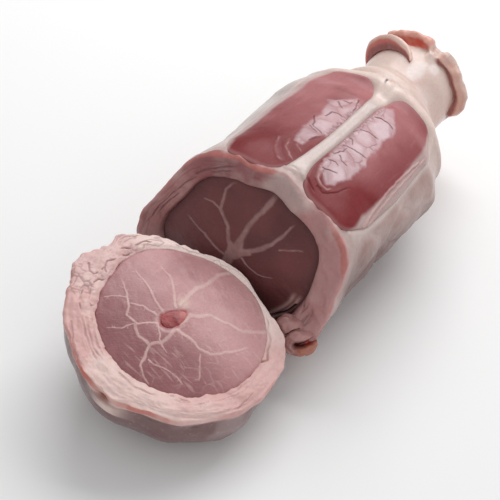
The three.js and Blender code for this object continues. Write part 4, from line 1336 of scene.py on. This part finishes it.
def shapeEdges(at):  # the ragged inner edge, and the outer crest, which overhangs and curls open at one place
    angle, share, height, rimLine = at.angle, at.share, at.height, at.rimLine
    fringe = 0.5 * rough(rimLine, 4.2, 3, 50) + 0.25 * noise(rimLine, 1.6, 7)
    atInner = 1 - smoothStep(0, 2.0, at.across)
    at.radius = at.radius + np.where(at.onTop, atInner * fringe * mix(0.4, 1.1, at.thick), 0)
    at.front = onArc(sliceFat, "front", angle) + (1 - smoothStep(44, 58, angle))
    at.crestBumps = rough(rimLine, 6.5, 3, 15)
    edge = between(1.9, 2.0, share, 0.06) * between(-1.6, 2, height, 0.9) * at.onRing
    jagged = noise(rimLine, 1.9, 33)
    at.radius = at.radius + edge * at.front * (0.4 + 0.9 * at.crestBumps + 0.3 * jagged)
    torn = onArc(sliceFat, "torn", angle) * smoothStep(1.6, 1.9, share) * at.onRing
    at.radius = at.radius + torn * (0.9 * rough(rimLine, 5, 3, 61) + 0.5 * noise(rimLine, 1.7, 27))
    curl = sliceFat["curl"]
    atCurl = hump(turnBetween(angle, curl["angle"]), curl["halfAngle"])
    at.pocket = atCurl * hump(height - curl["height"], 1.2) * at.onRing * (share > 1.86)
    lip = hump(turnBetween(angle, curl["lipAngle"]), curl["lipHalf"])
    at.lip = lip * between(-6, -3, height, 1.2) * (share > 1.85) * (at.onRing | at.onBowl)
    at.radius = at.radius - 1.5 * at.pocket + (1.1 + 0.6 * rough(rimLine, 2.6, 2, 9)) * at.lip
    return edge * (0.45 * rough(rimLine, 4.0, 2, 25) + 0.15 * at.front + 0.2 * jagged * at.front)


def cutFatTint(at):
    angle, flat, base, rimLine = at.angle, at.flat, at.base, at.rimLine
    crest = between(1.95, 2.0, at.share, 0.03) * between(-1.3, 0.2, at.height, 0.4) * at.onRing
    broken = patches(rimLine, -0.45, 0.35, 8, 3, 18) * mix(0.25, 1, onArc(sliceFat, "redCrest", angle))
    reddest = 0.9 * onArc(sliceFat, "reddest", angle) * smoothStep(-0.8, 0.1, at.crestBumps)
    broken = np.maximum(broken, reddest)
    streaky = patches(flat * [0.25, 1, 1], -0.1, 0.7, 4, 3, 80)
    cutTint = paint(len(angle), sliceFat, "pale", [
        ("rosy", 0.45 * streaky + 0.6 * onArc(sliceFat, "rosy", angle)),
        ("cream", 0.6 * onArc(sliceFat, "creamFront", angle) + 0.7 * onArc(sliceFat, "creamBack", angle)),
        ("cream", 0.5 * patches(flat * [0.3, 1, 1], 0.1, 0.7, 5, 3, 95)),
        # the thin top of the ring: pale fat, lightened further with painted light
        ("thinPaleAndLit", 0.95 * (1 - at.thick)),
        ("rosy", 0.5 * (1 - onArc(sliceFat, "allButRight", angle))),
        ("crack", 0.75 * at.crack + 0.32 * at.folds + 0.35 * at.edgeFold),
        # painted shade in the groove beside the lean
        ("grooveShade", 0.9 * at.groove),
        ("crest", crest * at.front * broken),
    ])
    # the slice's outer wall, darkened with painted shade
    wallTint = paint(len(angle), sliceFat, "wall", [
        ("wallGrey", patches(base, 0, 0.7, 13, 3, 28)),
        ("wallRed", 0.6 * patches(base, 0.0, 0.6, 8, 3, 48)),
    ])
    return paintedOver(mix(cutTint, wallTint, at.wallShare[:, None]), sliceFat, [
        ("cream", 0.9 * at.lip),
        ("curlTone", 1.2 * at.pocket),
    ])


def buildSliceFat():
    bm, at = sliceFatWeb()
    markCuts(at)
    lift = np.where(at.onTop, faceRelief(at) + shapeEdges(at), 0)
    onWall = at.onRing & (at.share > 1.9)
    onSkinSide = at.onBowl | (onWall & (at.height <= -1.6))
    swell = 0.5 * rough(at.base, 9, 3, 70) * smoothStep(0, 10, at.radius)
    at.radius = at.radius + np.where(onSkinSide, swell, 0)
    points = slicePoint(at.radius, at.height + lift, at.angle)
    at.wallShare = np.where(at.onBowl, 1.0, np.where(onWall, 1 - smoothStep(-2.8, -1.5, at.height), 0))
    wet = np.clip(0.12 + 0.4 * at.wallShare + 0.3 * at.groove + 0.12 * rough(at.base, 6, 2, 39), 0, 1)
    writePiece("sliceFat", bm, points, "slice_fat", "slice_fat", cutFatTint(at), wet)


buildSliceFat()

sliceLean = {
    "steps": 600, "faceRows": 140, "veinWidth": 0.8,
    "pink": (168, 116, 118), "light": (194, 144, 145), "mauve": (144, 91, 94), "vein": (212, 178, 173),
    "edge": (156, 102, 102), "pale": (206, 162, 160), "creamPatch": (206, 178, 166),
    # round zones of the face: across, along, radius, strength
    "zones": {"mauveFront": (20, -15, 10, 0.6), "mauveBack": (-10, 20, 9, 0.35), "pale": (17, 4, 11, 0.4),
              "creamPatch": (-0.3, 4.2, 2.2, 0.9)},
    "arcs": {"paleEdge": (20, 110, 20)},
    # each vein is its points, its first width and its last
    "veins": {
        "up": ([(-1.5, 0.5), (-7, 6.5), (-10, 10), (-16.5, 12.5)], 1.5, 0.6),
        "upRight": ([(-0.5, 2.5), (-1.5, 10), (0.5, 19), (0.6, 25), (2.5, 31)], 2.0, 1.9),
        "upLeft": ([(-3, -4.5), (-9, -1.5), (-14.5, 1.5), (-22.5, 4.5)], 1.1, 0.6),
        "leftMain": ([(-1.5, -8), (-5, -11), (-7, -13.5), (-11.5, -13), (-13, -9.5), (-16.5, -6.5),
                      (-22.5, -1.5)], 1.0, 0.6),
        "leftOut": ([(-16.5, -7), (-20, -9), (-22.5, -11)], 0.5, 0.3),
        "leftBridge": ([(-13.5, -8), (-10.5, -6), (-4, -6)], 0.7, 0.9),
        "leftDown": ([(-7, -14), (-4, -17), (1.5, -17.5)], 0.9, 1.1),
        "leftFaint": ([(-7.5, -14), (-9.5, -18.5), (-14, -21)], 0.5, 0.2),
        "stem": ([(-2, -8), (2.5, -13.5), (4, -14)], 0.6, 0.8),
        "hub": ([(4, -7), (4, -13.5), (1.5, -17.5)], 1.6, 1.3),
        "down": ([(1.5, -17.5), (3, -21), (3.5, -25), (6.5, -26.5), (10.5, -28)], 1.5, 0.4),
        "downShort": ([(4, -14), (8, -15)], 0.7, 0.3),
        "downRight": ([(5, -6), (9, -5.5), (14.5, -7), (18.5, -6), (23, 0.5), (26.5, 8)], 1.6, 0.6),
        "downFaint": ([(16, -8.5), (20, -13.5), (21.5, -16)], 0.6, 0.2),
        "diagFaint": ([(4.5, -21), (12, -20), (19, -21)], 0.5, 0.2),
        "right": ([(5, 1), (9.5, 6), (15, 9), (21, 10.5), (28.5, 21)], 1.7, 1.5),
        "besideMarrow": ([(4.5, 1.5), (4.6, -3.5), (3.8, -7.5)], 1.2, 1.2),
    },
    "hairSpacing": 2.3, "hairLength": (0.8, 2.6), "hairLean": (38, 75), "hairSeed": 7,
}

marrow = {
    "centre": (1.2, -3.2), "halfLength": 4.9, "halfWidth": 3.0, "depth": 3.4, "proud": 0.45, "sunk": 0.1,
    "turn": 70, "taper": 0.3, "dimple": 0.4, "subdivisions": 5,
    "red": (160, 66, 68), "deep": (128, 48, 52), "pale": (200, 122, 116),
}


def marrowShare(x, y):  # 1 on the marrow's outline
    turn = math.radians(marrow["turn"])
    dx, dy = x - marrow["centre"][0], y - marrow["centre"][1]
    along = (dx * math.cos(turn) + dy * math.sin(turn)) / marrow["halfLength"]
    across = (dy * math.cos(turn) - dx * math.sin(turn)) / marrow["halfWidth"]
    return np.hypot(along, across / (1 - marrow["taper"] * np.clip(along, -1, 1)))


def sideHairs(veins):  # short side branches along each vein, longer where the vein is wide
    chance = np.random.default_rng(sliceLean["hairSeed"])
    hairs = []
    for route, wide, _ in veins:
        for (x0, y0), (x1, y1) in zip(route, route[1:]):
            length = math.hypot(x1 - x0, y1 - y0)
            heading = math.degrees(math.atan2(y1 - y0, x1 - x0))
            for number in range(int(length / sliceLean["hairSpacing"])):
                share = (number + chance.uniform(0.1, 0.9)) * sliceLean["hairSpacing"] / length
                lean = chance.uniform(*sliceLean["hairLean"]) * chance.choice((-1, 1))
                reach = chance.uniform(*sliceLean["hairLength"]) * (0.5 + 0.4 * wide)
                turn = math.radians(heading + lean)
                bend = math.radians(heading + lean + chance.uniform(-35, 35))
                x, y = mix(x0, x1, share), mix(y0, y1, share)
                middle = (x + 0.5 * reach * math.cos(turn), y + 0.5 * reach * math.sin(turn))
                tipEnd = (middle[0] + 0.5 * reach * math.cos(bend), middle[1] + 0.5 * reach * math.sin(bend))
                hairs.append([(x, y), middle, tipEnd])
    return hairs


def marbling(flat, px, py, onFace):  # the veins, and how much vein, hair, stroke and web shows together
    form = sliceLean
    bx, by = warped(warped(flat, 7, 0.9, 4), 1.8, 0.35, 27).T[:2]
    veins = list(form["veins"].values())
    vein = np.zeros(len(flat))
    for route, wide, narrow in veins:
        width = form["veinWidth"]
        vein = np.maximum(vein, nearRoute(bx, by, route, wide * width, narrow * width, 0.92))
    hair = anyRoute(bx, by, sideHairs(veins), 0.26, 0.1, 0.5)
    vein = vein * (0.8 + 0.25 * rough(flat, 2.4, 2, 41))
    strokes = patches(stack(px * 0.16 - py * 0.03, py + px * 0.12, 0), 0.25, 0.6, 0.9, 2, 88)
    strokes = strokes * smoothStep(-14, 6, px - 0.5 * py)
    strokes = strokes * smoothStep(0, 0.5, 0.3 + rough(flat, 9, 2, 19)) * onFace
    webBorder = cells(warped(flat, 4, 1.2, 52), 4.6, 71)[0]
    web = (1 - smoothStep(0.03, 0.2, webBorder)) * patches(flat, -0.1, 0.5, 6, 2, 92) * onFace
    marbled = np.maximum(vein, np.maximum(0.55 * hair, np.maximum(0.38 * strokes, 0.3 * web)))
    return vein, strokes, marbled


def inZone(name, x, y):
    across, along, radius, strength = sliceLean["zones"][name]
    return strength * hump(np.hypot(x - across, y - along), radius)


def buildSliceLean():
    form = sliceLean
    rings = np.linspace(0, 0.95, form["faceRows"])
    face = np.stack([rings, sliceForm["domeHeight"] * (1 - rings ** 2)], axis=1)
    gap = 1 - sliceForm["gap"] / sliceForm["leanRadius"]
    floor = -sliceForm["leanDepth"] + sliceForm["gap"]
    bend = curveThrough([face[-1], (0.982, -0.1), (gap, -1.2)], 8, weights=(30, 1))[1:]
    sides = [(gap, floor + 5), (0.95, floor + 1.5), (0.6, floor), (0, floor)]
    bm, row, angle, share, height, _ = ringBands([face, bend, sides], form["steps"])
    onFace = row < form["faceRows"] + 3  # with the first rows of its rounded edge
    radius = share * sliceInner(angle)
    flat = facePlace(radius, angle)
    px, py = flat.T[:2]
    vein, strokes, marbled = marbling(flat, px, py, onFace)
    grooves = rough(flat @ octaveTurn * [0.35, 2.2, 1], 2.6, 2, 9)
    toMarrow = marrowShare(px, py)
    dimple = marrow["dimple"] * (1 - smoothStep(0.9, 1.5, toMarrow))
    lift = 0.14 * vein + 0.35 * rough(flat, 11, 3, 6) + 0.06 * grooves + 0.06 * strokes - dimple
    points = slicePoint(radius, height + np.where(onFace, lift, 0), angle)
    tint = paint(len(row), form, "pink", [
        # painted light and shade across the face: lighter towards the back, darker and more mauve towards the
        # front
        ("light", smoothStep(-14, 16, px * 0.25 + py + 5 * rough(flat, 12, 2, 8))),
        ("mauve", 0.95 * smoothStep(0, 20, -px * 0.1 - py + 4 * rough(flat, 10, 2, 64))),
        ("mauve", 0.35 * patches(flat, 0.1, 0.7, 7, 3, 33)),
        ("mauve", inZone("mauveFront", px, py) + inZone("mauveBack", px, py)),
        ("pale", inZone("pale", px, py)),
        ("light", 0.3 * patches(flat, 0.2, 0.8, 9, 3, 53)),
        # painted shade at the edge, where the lean tucks under the fat
        ("edge", 0.2 * smoothStep(0.92, 0.99, share)),
        ("vein", 0.3 * smoothStep(0.9, 0.97, share) * onArc(form, "paleEdge", angle)),
        ("vein", 0.88 * marbled),
        ("creamPatch", inZone("creamPatch", px, py)),
        ("vein", 0.5 * hump(toMarrow - 1.3, 0.14) * smoothStep(2, -2, px + py)),
    ])
    roundMarrow = 0.9 * (1 - smoothStep(0.9, 1.3, toMarrow + 0.25 * rough(flat, 2.4, 2, 15)))
    tint = painted(tint, marrow["red"], roundMarrow)
    wet = 0.22 + 0.25 * rough(flat, 8, 2, 77)
    writePiece("sliceLean", bm, points, "slice_lean", "slice_lean", tint, wet)


buildSliceLean()


def buildMarrow():
    form = marrow
    bm = bmesh.new()
    bmesh.ops.create_icosphere(bm, subdivisions=form["subdivisions"], radius=1)
    unit = np.array([v.co for v in bm.verts])
    length = unit[:, 0] * form["halfLength"]
    width = unit[:, 1] * (1 - form["taper"] * unit[:, 0]) * form["halfWidth"]
    lift = unit[:, 2] * np.where(unit[:, 2] > 0, form["proud"], form["depth"])
    turn = math.radians(form["turn"])
    x = form["centre"][0] + length * math.cos(turn) - width * math.sin(turn)
    y = form["centre"][1] + length * math.sin(turn) + width * math.cos(turn)
    flat = stack(x, y, lift)
    lumps = rough(flat, 2.4, 2, 3)
    away = np.hypot(x, y)
    rise = sliceForm["domeHeight"] * (1 - (away / sliceForm["leanRadius"]) ** 2) - form["sunk"]
    rise = rise - 0.5 * form["dimple"]
    points = slicePoint(away, rise + lift + 0.25 * lumps * (unit[:, 2] > 0), np.degrees(np.arctan2(y, x)))
    tint = paint(len(unit), form, "red", [
        ("deep", smoothStep(-0.2, 0.7, lumps - 0.5 * unit[:, 0] - 0.2 * unit[:, 1])),
        # paler towards its upper end: the marrow's paler border with a painted highlight
        ("pale", 0.75 * smoothStep(0.1, 0.9, unit[:, 0] * 0.8 + 0.6 * rough(flat, 1.8, 2, 16))),
    ])
    writePiece("marrow", bm, points, "slice_marrow", "slice_marrow", tint, np.full(len(unit), 0.25))


buildMarrow()
print("meat modelled")


# Floor, light and camera

studio = {
    "floorSize": 3.0, "floorTone": (0.9, 0.9, 0.9), "floorRoughness": 0.9,
    "worldTone": (1.0, 1.0, 1.0), "worldStrength": 0.48, "aim": (0, 0, 0.03),
    "lights": {
        "keyLight": {"towards": (-0.12, 0.62, 0.75), "distance": 0.8, "size": (0.8, 0.5), "power": 5.2},
        "fillLight": {"towards": (0.7, -0.5, 0.5), "distance": 1.2, "size": (0.9, 0.9), "power": 2.1},
    },
}


def areaLight(name, settings):
    data = bpy.data.lights.new(name, "AREA")
    data.shape = "RECTANGLE"
    data.size, data.size_y = settings["size"]
    data.energy = settings["power"]
    light = bpy.data.objects.new(name, data)
    direction = Vector(settings["towards"]).normalized()
    light.location = Vector(studio["aim"]) + direction * settings["distance"]
    light.rotation_euler = direction.to_track_quat("Z", "Y").to_euler()
    bpy.context.scene.collection.objects.link(light)


def setStage():
    bm = bmesh.new()
    bmesh.ops.create_grid(bm, x_segments=1, y_segments=1, size=studio["floorSize"] / 2)
    mesh = bpy.data.meshes.new("floor")
    bm.to_mesh(mesh)
    bm.free()
    floor = bpy.data.objects.new("floor", mesh)
    bpy.context.scene.collection.objects.link(floor)
    material = bpy.data.materials.new("paleFloor")
    material.use_nodes = True
    shader = material.node_tree.nodes["Principled BSDF"]
    shader.inputs["Base Color"].default_value = (*studio["floorTone"], 1)
    shader.inputs["Roughness"].default_value = studio["floorRoughness"]
    mesh.materials.append(material)

    world = bpy.data.worlds.new("softRoom")
    world.use_nodes = True
    background = world.node_tree.nodes["Background"]
    background.inputs[0].default_value = (*studio["worldTone"], 1)
    background.inputs[1].default_value = studio["worldStrength"]
    bpy.context.scene.world = world
    for name, settings in studio["lights"].items():
        areaLight(name, settings)
    bpy.context.scene.view_settings.view_transform = "Standard"


view = {
    "target": (-3.886, -9.82, 23.3), "azimuth": 34.6, "elevation": 42.8, "distance": 676.6,
    "lens": 135.84, "sensor": 36, "clipStart": 0.01,
}


def setCamera():
    data = bpy.data.cameras.new("camera")
    data.sensor_width = view["sensor"]
    data.lens = view["lens"]
    data.clip_start = view["clipStart"]
    camera = bpy.data.objects.new("camera", data)
    azimuth, elevation = math.radians(view["azimuth"]), math.radians(view["elevation"])
    back = Vector((math.sin(azimuth) * math.cos(elevation), -math.cos(azimuth) * math.cos(elevation),
                   math.sin(elevation)))
    camera.location = (Vector(view["target"]) + back * view["distance"]) * mm
    camera.rotation_euler = back.to_track_quat("Z", "Y").to_euler()
    bpy.context.scene.collection.objects.link(camera)
    bpy.context.scene.camera = camera


setStage()
setCamera()
print("stage set")
